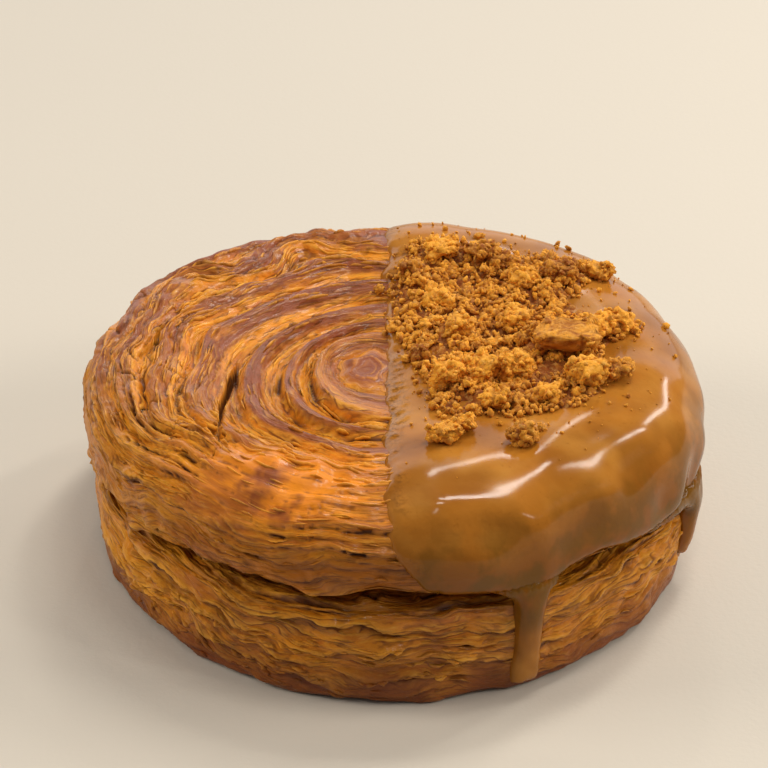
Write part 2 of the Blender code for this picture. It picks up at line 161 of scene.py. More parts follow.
def skin_line():
    """The outer line from the middle of the top down to the foot, as radius and height."""
    shoulder = ROLL_RADIUS - 11.0
    drop = ROLL_HEIGHT - DISH_DEPTH
    return spline(
        [
            (0.0, drop),
            (0.35 * shoulder, drop + 0.15 * DISH_DEPTH),
            (0.75 * shoulder, drop + 0.65 * DISH_DEPTH),
            (shoulder, ROLL_HEIGHT),
            (ROLL_RADIUS - 4.6, ROLL_HEIGHT - 1.9),
            (ROLL_RADIUS - 0.9, ROLL_HEIGHT - 5.9),
            (ROLL_RADIUS, ROLL_HEIGHT - 9.6),
            (ROLL_RADIUS - 0.4, WAIST_HEIGHT + 1.6),
            (ROLL_RADIUS - 1.3, WAIST_HEIGHT - 0.6),
            (BELLY_RADIUS - 0.2, WAIST_HEIGHT - 4.5),
            (BELLY_RADIUS, 0.5 * WAIST_HEIGHT),
            (BELLY_RADIUS - 0.9, 4.6),
            (FOOT_RADIUS + 0.9, 1.2),
            (FOOT_RADIUS, 0.0),
        ],
        0.5,
    )


SKIN = skin_line()
SKIN_LENGTHS = lengths(SKIN)


def swell(theta):
    """How far the uneven outline stands out from a true circle."""
    return sum(tall * np.cos(waves * theta + start) for waves, tall, start in OUTLINE_WAVES)


def settled(r, z, theta):
    """A turned profile's points, moved to where the uneven roll has them."""
    back = SET_BACK * rise(0.1, 0.6, np.cos(theta)) * rise(-0.5, 0.5, z - WAIST_HEIGHT)
    out = r + (swell(theta) - back) * rise(0.4 * ROLL_RADIUS, 0.9 * ROLL_RADIUS, r)
    droop = 2.2 * np.cos(theta) ** 2 * bell(z - WAIST_HEIGHT, 8.0)
    return np.stack([out * np.cos(theta), out * np.sin(theta), z - droop], axis=-1)


def on_skin(x, y):
    """Points of the smooth skin. On the flat, a point's distance from the middle runs down the side."""
    s = np.hypot(x, y)
    r = np.interp(s, SKIN_LENGTHS, SKIN[:, 0])
    z = np.interp(s, SKIN_LENGTHS, SKIN[:, 1])
    return settled(r, z, np.arctan2(y, x))


def skin_normal(x, y):
    """The skin's outward direction."""
    step = 0.3
    ahead = on_skin(x + step, y) - on_skin(x - step, y)
    left = on_skin(x, y + step) - on_skin(x, y - step)
    across = np.cross(ahead, left)
    return across / np.linalg.norm(across, axis=-1, keepdims=True)


def length_at(height):
    """How far along the skin the side comes down to a height."""
    low = (SKIN[:, 0] > 0.9 * BELLY_RADIUS) & (SKIN[:, 1] <= height)
    return SKIN_LENGTHS[np.argmax(low)]


# ---- meshes


def linked(name, data):
    """An object of the scene that shows a mesh, a lamp or a camera."""
    made = bpy.data.objects.new(name, data)
    bpy.context.scene.collection.objects.link(made)
    return made


def new_mesh(name, points, faces, paint):
    """A mesh from points in millimetres and faces, with its finish."""
    mesh = bpy.data.meshes.new(name)
    mesh.from_pydata((np.asarray(points) * M).tolist(), [], [tuple(map(int, face)) for face in faces])
    mesh.validate()
    mesh.materials.append(paint)
    return mesh


def new_piece(name, made, paint, node, attributes):
    """One piece from its points and faces, with its finish, in the place of a node of the frame."""
    mesh = new_mesh(name, *made, paint)
    for key, values in attributes.items():
        kind, field = ("FLOAT_VECTOR", "vector") if values.ndim == 2 else ("FLOAT", "value")
        kept = mesh.attributes.new(key, kind, "POINT")
        kept.data.foreach_set(field, values.astype(np.float32).ravel())
    mesh.shade_smooth()
    piece = linked(name, mesh)
    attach(piece, "root")
    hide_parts(node)


def grid_normals(points, quads):
    """Smooth outward directions of a mesh of quads."""
    across = np.cross(points[quads[:, 2]] - points[quads[:, 0]], points[quads[:, 3]] - points[quads[:, 1]])
    total = np.zeros_like(points)
    for corner in range(4):
        np.add.at(total, quads[:, corner], across)
    return total / np.maximum(np.linalg.norm(total, axis=1, keepdims=True), 1e-9)


def disc_grid(columns, rows):
    """A square grid bent into a disc of radius 1: its places, its quads and its rim in order."""
    a, b = np.meshgrid(columns, rows)
    wide = np.abs(a) > np.abs(b)
    with np.errstate(divide="ignore", invalid="ignore"):
        angle = np.where(wide, 0.25 * np.pi * b / a, 0.5 * np.pi - 0.25 * np.pi * a / b)
    radius = np.where(wide, a, b)
    angle = np.nan_to_num(angle)
    places = np.stack([radius * np.cos(angle), radius * np.sin(angle)], axis=-1).reshape(-1, 2)
    m, n = len(rows), len(columns)
    index = np.arange(m * n).reshape(m, n)
    quads = np.stack([index[:-1, :-1], index[:-1, 1:], index[1:, 1:], index[1:, :-1]], axis=-1)
    rim = np.concatenate([index[0, :-1], index[:-1, -1], index[-1, :0:-1], index[:0:-1, 0]])
    return places, quads.reshape(-1, 4), rim


# ---- the pastry

LAYER_NOISE = Noise(3)
WARP_NOISE = Noise(4)
SPOT_NOISE = Noise(5)
FLAKES = 1000
FLAKE_ROWS = 10  # places along each flake


def layer_radius(x, y, z):
    """How far out through the rolled dough a point lies. It is the same all along one layer."""
    r = np.hypot(x, y)
    shift = EYE_SHIFT + (TURNS_SHIFT - EYE_SHIFT) * rise(3, 24, r)
    shift = shift * (1.0 - rise(34, 52, r))
    theta = np.arctan2(y, x)
    wave = np.sin(7.0 * theta + r / 9.0) + 0.6 * np.sin(12.0 * theta - r / 6.0)
    wave = wave * 1.3 * rise(24, 42, r) * rise(4, 30, z)
    eye = EYE_ASIDE * (1.0 - rise(6, 16, r))
    return np.hypot(x + eye, y + shift) + wave + (ROLL_HEIGHT - z) * rise(40, 48, r)


def lower_slant(theta, z):
    """How much higher the lower half's layers lie at the left than at the front."""
    turn = np.degrees(theta) % 360.0
    share = rise(40.0, 160.0, turn) * (1.0 - rise(203.0, 264.0, turn))
    return 8.0 * share * (1.0 - rise(WAIST_HEIGHT - 3.0, WAIST_HEIGHT + 1.0, z))


def band_count(u):
    """How many bands lie within a layer. It is whole on a crest."""
    far = len(BAND_RADII) - 1 + (u - BAND_RADII[-1]) / BAND_PITCH
    return np.where(u < BAND_RADII[-1], np.interp(u, BAND_RADII, np.arange(len(BAND_RADII))), far)


def path_distance(x, y, path):
    """How far points on the flat lie from a line of straight stretches."""
    best = np.full(np.shape(x), 1e9)
    for (ax, ay), (bx, by) in zip(path, path[1:]):
        dx, dy = bx - ax, by - ay
        share = np.clip(((x - ax) * dx + (y - ay) * dy) / (dx * dx + dy * dy), 0, 1)
        best = np.minimum(best, np.hypot(x - ax - share * dx, y - ay - share * dy))
    return best


def sheets(u, place, pitch, seed, soft=0.16):
    """Overlapping sheets of dough: how high each stands, the painted shade under its edge, and the edge.
    """
    x, y, z = place

    def strength(cell):
        return np.clip(0.5 + 1.15 * LAYER_NOISE(7.31 * cell + seed, x / 9.5, y / 9.5 + z / 19), 0.0, 1.3)

    t = u / pitch + 0.7 * LAYER_NOISE(x / 19 + seed, y / 19, z / 15)
    cell = np.floor(t)
    f = t - cell
    here = strength(cell)
    stand = np.where(f < 1 - soft, (f / (1 - soft)) ** 1.4, (1 - f) / soft)
    under = strength(cell - 1) * bell(f, 0.16) + here * bell(1 - f, 0.1)
    return here * stand, under, here * rise(0.5, 0.82, f) * (1 - rise(0.9, 1.0, f))


def layering(x, y, z):
    """Which layer each point shows, as a length outwards, with the layers' waves and torn edges."""
    r = np.hypot(x, y)
    side = 1.0 - rise(ROLL_HEIGHT - 9.0, ROLL_HEIGHT - 2.0, z)
    wild = rise(29, 43, r) * (1.0 - 0.7 * side)
    u = layer_radius(x, y, z) + lower_slant(np.arctan2(y, x), z)
    u = u + WARP_NOISE(x / 13, y / 13, z / 9) * (0.3 + 1.7 * wild + 1.2 * side)
    u = u + WARP_NOISE(x / 5.2, y / 5.2, z / 3.6) * (0.1 + 0.55 * wild + 0.5 * side)
    core = 1.0 - rise(5.0, 10.0, u)
    u = u + core * 1.3 * WARP_NOISE(x / 2.3, y / 2.3, 12.0)
    torn = 0.18 + 0.35 * wild + 0.22 * side
    torn = torn * (SPOT_NOISE(x / 3.3, y / 3.3, z / 2.2) + 0.45 * SPOT_NOISE(x / 1.4, y / 1.4, z / 1.1))
    return u, torn, side, wild


def band_shape(u):
    """The bands from one crest to the next: their height from 0 to 1, and where they are browned."""
    turns = band_count(u)
    f = turns - np.floor(turns)
    tall = np.where(f < 0.25, 1.0 - rise(0.03, 0.25, f), rise(0.3, 0.92, f) ** 1.2)
    brown = rise(0.52, 0.72, f) + 1.0 - rise(0.05, 0.14, f)
    core = 1.0 - rise(3.6, 7.4, u)
    weak = rise(9.0, 10.0, u) * (1 - rise(13.2, 14.5, u))
    tall = np.where(u < 9.0, np.maximum(0.3 + 0.7 * core, 0.5 * rise(7.0, 9.0, u)), tall)
    first = rise(6.4, 7.4, u) * (1 - rise(9.8, 10.8, u))
    brown = np.where(u < 9.0, core, brown * (1 - 0.4 * weak))
    return np.maximum(tall, 0.75 * first), np.maximum(brown, 0.85 * first)


# The smooth blistered patch in front, and one painted lighter as a painted highlight: place and half
# widths
BLISTER = (-20.0, -42.0, 19.0, 11.0)
PAINTED_LIGHT_PATCH = (-42.0, -25.0, 12.0, 12.0)
# Patches baked browner than the rest: place and half width
TANNED = ((-30.0, -41.0, 4.5), (-23.5, -43.0, 3.5), (-39.0, -20.5, 3.5), (-42.5, 16.5, 5.0))


class Ground:
    """What the pastry is like at each point: how far out, on the side, in wild layers or blistered."""

    def __init__(self, place):
        self.place = x, y, z = place.T
        self.smooth, self.torn, self.side, self.wild = layering(x, y, z)
        self.u = self.smooth + self.torn
        self.top = 1 - self.side
        self.blister = np.minimum(1.0, 1.3 * hill(x, y, *BLISTER)) * self.top
        self.calm = 1 - 0.85 * self.blister
        self.uneven = 0.5 + 0.5 * SPOT_NOISE(x / 15, y / 15, z / 9)
        self.core = 1 - rise(4.5, 8.0, self.u)
        self.upper = rise(WAIST_HEIGHT - 2, WAIST_HEIGHT + 2, z)


def sheet_relief(at, tall):
    """Sheets of dough at three sizes: their height, the painted shade under them, and their pale edges,
    partly painted highlight.
    """
    bold, bold_dark, bold_edge = sheets(at.u, at.place, 5.4, 90.0, 0.1)
    wide, wide_dark, wide_edge = sheets(at.u, at.place, 3.0, 10.0)
    narrow, narrow_dark, narrow_edge = sheets(at.u, at.place, 1.45, 50.0, 0.22)
    slopes = 1 - 0.75 * rise(0.8, 1.0, tall) * at.top * (1 - at.core)
    bold_size = (1.25 - 0.6 * at.upper) * at.side + 0.15 * at.wild
    wide_size = (0.5 + (0.6 - 0.2 * at.upper) * at.side + 0.3 * at.wild) * at.calm
    narrow_size = (0.34 + 0.15 * at.side) * slopes * at.calm
    # Deep grooves between the sheets: sunk into the surface, and painted with shade.
    deep = rise(0.8 - 0.1 * at.wild, 1.2 - 0.1 * at.wild, wide_dark)
    deep = deep * (0.5 + 0.9 * at.side + 0.5 * at.wild) * at.calm
    height = bold_size * (bold - 0.45) + wide_size * (wide - 0.45) + narrow_size * (narrow - 0.5)
    dark = 0.5 * bold_dark * bold_size + 0.6 * wide_dark * wide_size + narrow_dark * narrow_size
    edge = 0.8 * bold_edge * at.side + 0.6 * wide_edge * (0.3 + 0.7 * at.side) + 0.3 * narrow_edge
    return height - 1.3 * deep, dark + 0.8 * deep, edge * at.calm, narrow_edge


def cracks(at):
    """Folds, splits, the long slit and the seams between bands: their height, their painted shade, the
    slit.
    """
    x, y, z = at.place
    loose = at.wild * at.top * at.calm
    ribbon = at.u / 3.9 + 0.5 * LAYER_NOISE(x / 12, y / 12, 30.0)
    fold = 1 - np.abs(2 * (ribbon - np.floor(ribbon)) - 1) ** 2.4
    gate = rise(0.05, 0.35, SPOT_NOISE(x / 7 + 31, y / 7, z / 6)) * rise(-20.0, -32.0, x)
    split = rise(0.055, 0.0, np.abs(WARP_NOISE(x / 6.5 + 70, y / 6.5, z / 6.5))) * gate * loose * at.top
    slit = rise(1.0, 0.6, path_distance(x, y, SLIT_PATH) / slit_width(y)) * rise(30, 33, z)
    seam = bell(band_count(at.u) % 1.0 - 0.22, 0.05) * rise(-0.3, 0.2, SPOT_NOISE(x / 9 + 9, y / 9, 4.0))
    seam = seam * at.top * at.calm * rise(8.0, 10.0, at.u) * (1 - 0.5 * at.wild)
    height = 1.1 * (fold - 0.6) * loose - split - 2.6 * slit - 0.8 * seam
    # Painted shade in the splits, in the low parts of the folds and along the seams.
    dark = 0.9 * split + 0.5 * at.wild * at.top * rise(0.25, 0.0, fold) + 0.95 * seam
    return height, dark, slit


def pressed(height, at):
    """The relief made lower beside and under the icing, at the foot and on the far left."""
    x, y, z = at.place
    height = height * (1 - 0.55 * rise(-8.0, -3.0, x) * at.top)
    covered = (1 - rise(2.8, 5.5, min_across(np.arctan2(y, x)))) * rise(ICING_SIDE, 4.0, x) * at.side
    height = height * (1 - 0.85 * covered) - 0.3 * covered
    return height * (1 - 0.5 * rise(8.0, 2.0, z)) * (1 - 0.35 * rise(-45.0, -51.0, x))


def pastry_relief(place):
    """How far the layers stand from the smooth skin, and what paints them."""
    at = Ground(place)
    x, y, z = at.place
    tall, brown = band_shape(at.u)
    bands = (1 - tall) * (1.5 + at.uneven) * (1 - 0.85 * at.side) * (1 - 0.45 * at.wild) * at.calm
    sheet, sheet_painted_shade, edge, lip = sheet_relief(at, tall)
    crack, crack_painted_shade, slit = cracks(at)
    knobs = 0.35 * SPOT_NOISE(x / 4.2, y / 4.2, z / 3.4) * (0.3 + at.wild + at.side)
    bubbles = 0.55 + 0.9 * SPOT_NOISE(x / 8, y / 8, 60.0) + 0.6 * SPOT_NOISE(x / 3.4, y / 3.4, 61.0)
    height = pressed(sheet - bands + crack + knobs + bubbles * at.blister, at)
    # A painted highlight: on this patch the layers get less painted shade, less browning and paler edges.
    painted_light = hill(x, y, *PAINTED_LIGHT_PATCH) * rise(30, 33, z)
    # Less painted shade in the crevice towards the left.
    waist = bell(z - WAIST_HEIGHT + 1.0, 3.0) * rise(-5.0, -25.0, x)
    dark = (sheet_painted_shade + crack_painted_shade) * (1 - 0.6 * waist) * (1 - 0.4 * painted_light)
    brown = brown * (1 - 0.4 * at.core * rise(0.25, 0.7, lip)) * (1 - 0.7 * painted_light) * (0.6 + 0.9 * at.uneven)
    brown = brown * (1 - 0.75 * at.side) * (1 - 0.08 * rise(38.0, 46.0, at.u)) * at.calm
    # Painted shade on the sides: most on the upper half's side just above the crevice, and less towards
    # the left.
    roofed = 0.36 + 0.64 * at.upper * rise(32.5, 28.0, z)
    tanned = sum(hill(x, y, px, py, wide, wide) for px, py, wide in TANNED)
    return height, {
        "layers": np.stack([at.smooth + 0.4 * at.torn, x, y + 0.6 * z], axis=-1),
        "browned": np.clip(brown, 0, 1),
        # Painted shade in the grooves, under the sheets' edges, in the cracks and down the slit.
        "hollow": np.clip(dark + 1.3 * slit, 0, 0.92),
        # Pale layer edges, partly paler dough and partly painted highlight, plus the painted highlight
        # patch.
        "edge": np.clip(0.35 * painted_light + edge, 0, 1),
        "fine": np.clip(1 - 0.9 * at.blister - 0.8 * at.core, 0, 1),
        "shelter": at.side * roofed * (1 - 0.4 * rise(-12.0, -40.0, x)),
        "foot": rise(9.5, 1.0, z + 3.0 * SPOT_NOISE(x / 9, y / 9, 3.0)),
        "side": at.side,
        "blister": at.blister,
        "tanned": np.clip(tanned, 0, 0.55),
    }


def slit_width(y):
    """How far the long crack gapes on each side: most a third of the way along."""
    top, bottom = SLIT_PATH[0][1], SLIT_PATH[-1][1]
    share = np.clip((top - y) / (top - bottom), 0, 1)
    return 0.4 * np.sin(np.pi * share**0.58) ** 1.5 + 0.2


def flake_paths(chance):
    """Short lines along the layers, most of them on the bare half, as places on the flat."""
    s = np.sqrt(chance.uniform(0.03, 1.0, size=FLAKES)) * 86.0
    theta = chance.uniform(np.radians(88), np.radians(272), size=FLAKES)
    low = chance.uniform(size=FLAKES) < 0.25
    theta = np.where(low, chance.uniform(-np.pi, np.pi, size=FLAKES), theta)
    s = np.where(low, chance.uniform(74, 83, size=FLAKES), s)
    s = np.where((s > 60) & (s < 74), s - 30, s)
    x, y = s * np.cos(theta), s * np.sin(theta)
    reach = chance.uniform(0.2, 0.7, size=FLAKES)
    path = []
    for _ in range(FLAKE_ROWS):
        path.append((x, y))
        beside = ((0.25, 0), (-0.25, 0), (0, 0.25), (0, -0.25))
        near = [layering(*on_skin(x + dx, y + dy).T)[0] for dx, dy in beside]
        gx, gy = near[0] - near[1], near[2] - near[3]
        size = np.maximum(np.hypot(gx, gy), 1e-6)
        x, y = x - gy / size * reach, y + gx / size * reach
    return np.moveaxis(np.array(path), 0, -1)


def flakes(chance):
    """Thin edges of dough that stand up along the layers, each a long closed sliver."""
    x, y = flake_paths(chance)
    base, up = on_skin(x.ravel(), y.ravel()), skin_normal(x.ravel(), y.ravel())
    relief, shade = pastry_relief(base)
    base = (base + up * relief[:, None]).reshape(FLAKES, FLAKE_ROWS, 3)
    up = up.reshape(FLAKES, FLAKE_ROWS, 3)
    run = np.gradient(base, axis=1)
    run /= np.maximum(np.linalg.norm(run, axis=2, keepdims=True), 1e-6)
    out = np.cross(run, up)
    lean = up + chance.uniform(-0.9, 0.9, size=(FLAKES, 1, 1)) * out
    share = np.linspace(0, 1, FLAKE_ROWS)
    tall = np.sin(np.pi * np.clip(share, 0.03, 0.97)) ** 0.6 * chance.uniform(0.2, 0.6, size=(FLAKES, 1))
    tall = tall * chance.uniform(0.75, 1.15, size=tall.shape)
    tall = (tall * (1 - 0.7 * rise(-44.0, -50.0, base[..., 0])))[..., None]
    wide = (0.22 * np.sin(np.pi * np.clip(share, 0.08, 0.92)) + 0.03)[None, :, None] * out
    root, crest = base - 0.5 * up, base + lean * tall
    corners = [root - 1.2 * wide, root + 1.2 * wide, crest + 0.35 * wide, crest - 0.35 * wide]
    points = np.stack(corners, axis=2).reshape(-1, 3)
    points[:, 2] = np.maximum(points[:, 2], 0.0)
    sides = np.array([(0, 1, 5, 4), (1, 2, 6, 5), (2, 3, 7, 6), (3, 0, 4, 7)])
    sides = (sides + 4 * np.arange(FLAKE_ROWS - 1)[:, None, None]).reshape(-1, 4)
    quads = np.vstack([sides, [3, 2, 1, 0], np.arange(4) + 4 * (FLAKE_ROWS - 1)])
    quads = (quads + 4 * FLAKE_ROWS * np.arange(FLAKES)[:, None, None]).reshape(-1, 4)
    shade = {key: np.repeat(value, 4, axis=0) for key, value in shade.items()}
    # Painted shade at each flake's root, and a pale edge along its free top, partly painted highlight.
    free = np.tile([False, False, True, True], FLAKES * FLAKE_ROWS)
    shade["hollow"] = np.where(free, 0.0, 0.6)
    shade["browned"] = shade["browned"] * 0.6
    shade["edge"] = np.where(free, 0.7, 0.0)
    return points, quads, shade


def raised(points, quads, keep):
    """The points with a share of the pastry's relief added, and what paints them."""
    height, shade = pastry_relief(points)
    return points + grid_normals(points, quads) * (height * keep)[:, None], shade


def lip_wave(theta):
    """How the edges of the crevice go up and down round the roll."""
    c, s = np.cos(theta), np.sin(theta)
    return 0.55 * WARP_NOISE(3.2 * c + 20, 3.2 * s) + 0.25 * WARP_NOISE(9 * c + 40, 9 * s)


def upper_half():
    """The upper half: the top, its side down to the lip, and the roof of the crevice."""
    skin = SKIN[SKIN[:, 1] > WAIST_HEIGHT + 0.7]
    roof = [(52.75, 0.3), (51.4, -0.35), (48.0, -0.6), (45.0, -0.9), (44.2, -3.0), (41.0, -3.2)]
    roof = spline([(r, WAIST_HEIGHT + z) for r, z in roof], 0.5)
    line = np.vstack([[0.0, SKIN[0, 1]], skin[1:], roof])
    along = lengths(line)
    bare = np.linspace(-1.0, 0.03, 214)
    iced = np.linspace(0.03, 1.0, 46)[1:]
    places, quads, rim = disc_grid(np.concatenate([bare, iced]), np.linspace(-1, 1, 380))
    s = np.hypot(*places.T) * along[-1]
    theta = np.arctan2(places[:, 1], places[:, 0])
    r, z = (np.interp(s, along, line[:, k]) for k in range(2))
    points = settled(r, z, theta)
    points[:, 2] += lip_wave(theta) * rise(34, 24, z) * rise(19, 22, z)
    points, shade = raised(points, quads, rise(along[-1] - 1.5, along[-1] - 8.0, s))
    points = np.vstack([points, points[rim].mean(axis=0)])
    fan = [(b, a, len(points) - 1) for a, b in zip(rim, np.roll(rim, -1))]
    shade = {k: np.concatenate([v, v[:1]]) for k, v in shade.items()}
    return points, quads.tolist() + fan, shade


def lower_half():
    """The lower half: the floor of the crevice, the belly, the foot and the base."""
    under = WAIST_HEIGHT - CREVICE_GAP
    skin = SKIN[SKIN[:, 1] < under - 2.8]
    ledge = [(41.0, under), (46.0, under - 0.2), (49.8, under - 0.8), (51.5, under - 1.7), skin[0]]
    base = spline([(FOOT_RADIUS - 0.5, 0.0), (41.0, 0.0)], 1.5)
    line = np.vstack([spline(ledge, 0.5)[:-1], skin, base])
    along = lengths(line)
    end = along[-1]
    down = [np.linspace(0, 9, 14)[:-1], np.linspace(9, end - 7, 74), np.linspace(end - 7, end, 7)[1:]]
    down = np.concatenate(down)
    turns = 1040
    theta, s = np.meshgrid(np.arange(turns) * 2 * np.pi / turns, down)
    theta, s = theta.ravel(), s.ravel()
    r, z = (np.interp(s, along, line[:, k]) for k in range(2))
    points = settled(r, z, theta)
    points[:, 2] += 0.8 * lip_wave(theta + 1.0) * rise(10, 19, z)
    index = np.arange(len(down) * turns).reshape(len(down), turns)
    ahead = np.roll(index, -1, axis=1)
    quads = np.stack([index[:-1], index[1:], ahead[1:], ahead[:-1]], axis=-1).reshape(-1, 4)
    points, shade = raised(points, quads, rise(0.0, 6.0, s) * rise(end - 5.0, end - 8.5, s))
    points[:, 2] = np.maximum(points[:, 2], 0.0)
    first = len(points)
    points = np.vstack([points, *((0, 0, points[row, 2].mean()) for row in (index[0], index[-1]))])
    top = [(a, b, first) for a, b in zip(index[0], ahead[0])]
    bottom = [(b, a, first + 1) for a, b in zip(index[-1], ahead[-1])]
    shade = {k: np.concatenate([v, v[:2]]) for k, v in shade.items()}
    return points, quads.tolist() + top + bottom, shade


# ---- the icing

LUMP_NOISE = Noise(21)
# Soft swells and dips of the icing: place, half width, height
SWELLS = (
    (24.5, -38.5, 4.0, 0.5), (12.0, -46.0, 4.5, -0.4), (33.5, -35.0, 4.5, -0.4),
    (5.0, -52.0, 4.0, 0.5), (40.0, -24.0, 4.5, 0.4), (18.0, -53.0, 5.0, 0.5), (30.0, -46.0, 5.0, -0.4),
)
# A soft ridge where the icing folds over the shoulder
FOLD_PATH = (
    (0.5, -49.4), (7.7, -48.2), (14.0, -47.4), (19.5, -48.2),
    (23.0, -48.4), (26.2, -45.6), (30.5, -42.4), (36.0, -38.6),
)
TROUGH_SCALE = 1.095  # how much further out the dip along the ridge's outer side lies
ICING_FLOOR = 0.05  # the lowest that any drip hangs above the floor
ICING_TURN = 82.5  # how far round from +X the hem reaches, in degrees, and back as far


def icing_reach(angle):
    """How far out from the middle the icing's hem lies, along the skin, with its drips."""
    hem = length_at(WAIST_HEIGHT) + 0.5 * np.cos(2.0 * angle) + 0.5 * np.cos(5.0 * angle + 0.6)
    hem = hem + 1.4 * bell(angle - math.radians(-26), 0.26) - 1.5 * bell(angle - math.radians(-52), 0.12)
    for degrees, half_width, hang in DRIPS:
        across = np.abs(angle - math.radians(degrees)) * ROLL_RADIUS
        hem = hem + hang * (1.0 - rise(0.75 * half_width, 1.5 * half_width, across)) ** 0.7
        hem = hem + 2.6 * bell(across, 6.0) + 3.5 * bell(across, 3.0)
    return np.minimum(hem, length_at(1.6))


def chord_place(y, wavy=1.0):
    """Where the icing's edge crosses the top, and how it draws back down the sides, along X."""
    wave = 1.3 * LUMP_NOISE(y / 8.0, 15.0) + 0.8 * LUMP_NOISE(y / 3.3, 5.0)
    wave = wave + 0.5 * LUMP_NOISE(y / 1.5, 25.0)
    return ICING_SIDE + wavy * wave + 9.5 * rise(51, 67, np.abs(y)) ** 1.2


def icing_outline():
    """The icing's edge on the flat: round the hem and back across the top."""
    angles = np.radians(np.arange(-ICING_TURN, ICING_TURN, 0.05))
    reach = icing_reach(angles)
    hem = evenly(np.stack([reach * np.cos(angles), reach * np.sin(angles)], axis=-1), 0.75)
    y = np.linspace(hem[-1][1], hem[0][1], 150)[1:-1]
    return np.vstack([hem, np.stack([chord_place(y), y], axis=-1)])


def outline_distance(places, outline):
    """How far places on the flat lie from a closed outline."""
    best = np.full(len(places), 1e9)
    for a, b in zip(outline, np.roll(outline, -1, axis=0)):
        along = b - a
        share = np.clip((places - a) @ along / (along @ along), 0, 1)
        best = np.minimum(best, np.linalg.norm(places - a - share[:, None] * along, axis=1))
    return best


def within(places, outline):
    """True for the places inside a closed outline."""
    inside = np.zeros(len(places), bool)
    x, y = places.T
    for a, b in zip(outline, np.roll(outline, -1, axis=0)):
        if a[1] != b[1]:
            inside ^= ((a[1] > y) != (b[1] > y)) & (x < a[0] + (b[0] - a[0]) * (y - a[1]) / (b[1] - a[1]))
    return inside


def filled(outline, spacing, rings):
    """Places on and inside a closed outline, with rows close along its edge, and the triangles."""
    low, high = outline.min(axis=0), outline.max(axis=0)
    height = spacing * math.sqrt(0.75)
    x, y = np.meshgrid(np.arange(low[0], high[0], spacing), np.arange(low[1], high[1], height))
    x[1::2] += 0.5 * spacing
    inner = np.stack([x.ravel(), y.ravel()], axis=-1)
    inner = inner[within(inner, outline)]
    inner = inner[outline_distance(inner, outline) > rings[-1] + 0.6 * spacing]
    along = np.roll(outline, -1, axis=0) - np.roll(outline, 1, axis=0)
    inward = np.stack([-along[:, 1], along[:, 0]], axis=-1)
    inward /= np.linalg.norm(inward, axis=1)[:, None]
    rows = []
    for ring in rings:
        row = outline + inward * ring
        rows.append(row[within(row, outline) & (outline_distance(row, outline) > 0.93 * ring)])
    places = np.vstack([outline, *rows, inner])
    count = len(outline)
    edges = [(i, (i + 1) % count) for i in range(count)]
    places, _, faces, *_ = delaunay_2d_cdt([Vector(p) for p in places], edges, [], 1, 0.0)
    return np.array([tuple(p) for p in places]), np.array(faces), count


def laid_over(places, faces, rim, top, bottom):
    """A closed sheet over the skin: its top and bottom are heights above it that meet at the rim."""
    base, normal = on_skin(*places.T), skin_normal(*places.T)
    points = np.vstack([base + normal * top[:, None], (base + normal * bottom[:, None])[rim:]])
    under = np.where(faces < rim, faces, faces + len(places) - rim)
    a, b, c = (base[faces[:, k]] for k in range(3))
    if np.cross(b - a, c - a)[:, 2].sum() < 0:
        return points, np.vstack([faces[:, ::-1], under])
    return points, np.vstack([faces, under[:, ::-1]])


def evened(heights, faces, rim, times):
    """The heights with small steps between neighbours smoothed out, and the rim left as it is."""
    pairs = np.vstack([faces[:, [0, 1]], faces[:, [1, 2]], faces[:, [2, 0]]])
    count = np.bincount(pairs.ravel(), minlength=len(heights))
    for _ in range(times):
        total = np.bincount(pairs[:, 0], heights[pairs[:, 1]], len(heights))
        total += np.bincount(pairs[:, 1], heights[pairs[:, 0]], len(heights))
        mean = total / np.maximum(count, 1)
        heights = np.concatenate([heights[:rim], 0.4 * heights[rim:] + 0.6 * mean[rim:]])
    return heights


def min_across(theta):
    """How far round the side each angle is from the nearest drip."""
    return np.min([np.abs(theta - math.radians(drip[0])) for drip in DRIPS], axis=0) * ROLL_RADIUS


def puddled(places):
    """The front drip's tip made wider, where the icing gathers."""
    s, theta = np.hypot(*places.T), np.arctan2(places[:, 1], places[:, 0])
    middle = math.radians(DRIPS[0][0])
    wider = 0.35 * rise(76.0, 84.0, s) * (1 - rise(0.08, 0.12, np.abs(theta - middle)))
    theta = middle + (theta - middle) * (1 + wider)
    return np.stack([s * np.cos(theta), s * np.sin(theta)], axis=-1)


def wetness(x, y):
    """1 in the wet wrinkled strip along the icing's straight edge, most of it in front of the eye."""
    patches = 0.6 * rise(0.0, 0.3, LUMP_NOISE(x / 6.0, y / 6.0, 40.0))
    front = rise(3.0, -2.0, y) * rise(-33.0, -27.0, y)
    return np.maximum(patches, front) * (1.0 - rise(2.0, 4.5, x - chord_place(y)))


def icing_lumps(x, y, edge):
    """The icing's own height above the skin away from its edges: lumps, flow lines, fold and swells."""
    s, theta = np.hypot(x, y), np.arctan2(y, x)
    shoulder = rise(38.0, 48.0, s)
    lumps = 0.45 * LUMP_NOISE(x / 14, y / 14, 1.0) * rise(3, 9, edge)
    lumps = lumps + 0.6 * LUMP_NOISE(x / 10.5, y / 10.5, 4.0) * shoulder * rise(1.5, 6, edge)
    lumps = lumps + 0.95 * LUMP_NOISE(x / 7.5, y / 7.5, 14.0) * rise(49.0, 55.0, s) * rise(1.5, 6, edge)
    flow = 0.35 * LUMP_NOISE(theta * 6.0, s / 24.0, 7.0) * shoulder * rise(1, 7, edge)
    fold = 0.8 * bell(path_distance(x, y, FOLD_PATH), 1.8)
    fold = fold - 0.5 * bell(path_distance(x / TROUGH_SCALE, y / TROUGH_SCALE, FOLD_PATH), 2.3)
    swells = sum(tall * hill(x, y, px, py, wide, wide) for px, py, wide, tall in SWELLS)
    return 1.55 + lumps * (1 - 0.8 * rise(67.0, 71.0, s)) + flow + fold + swells


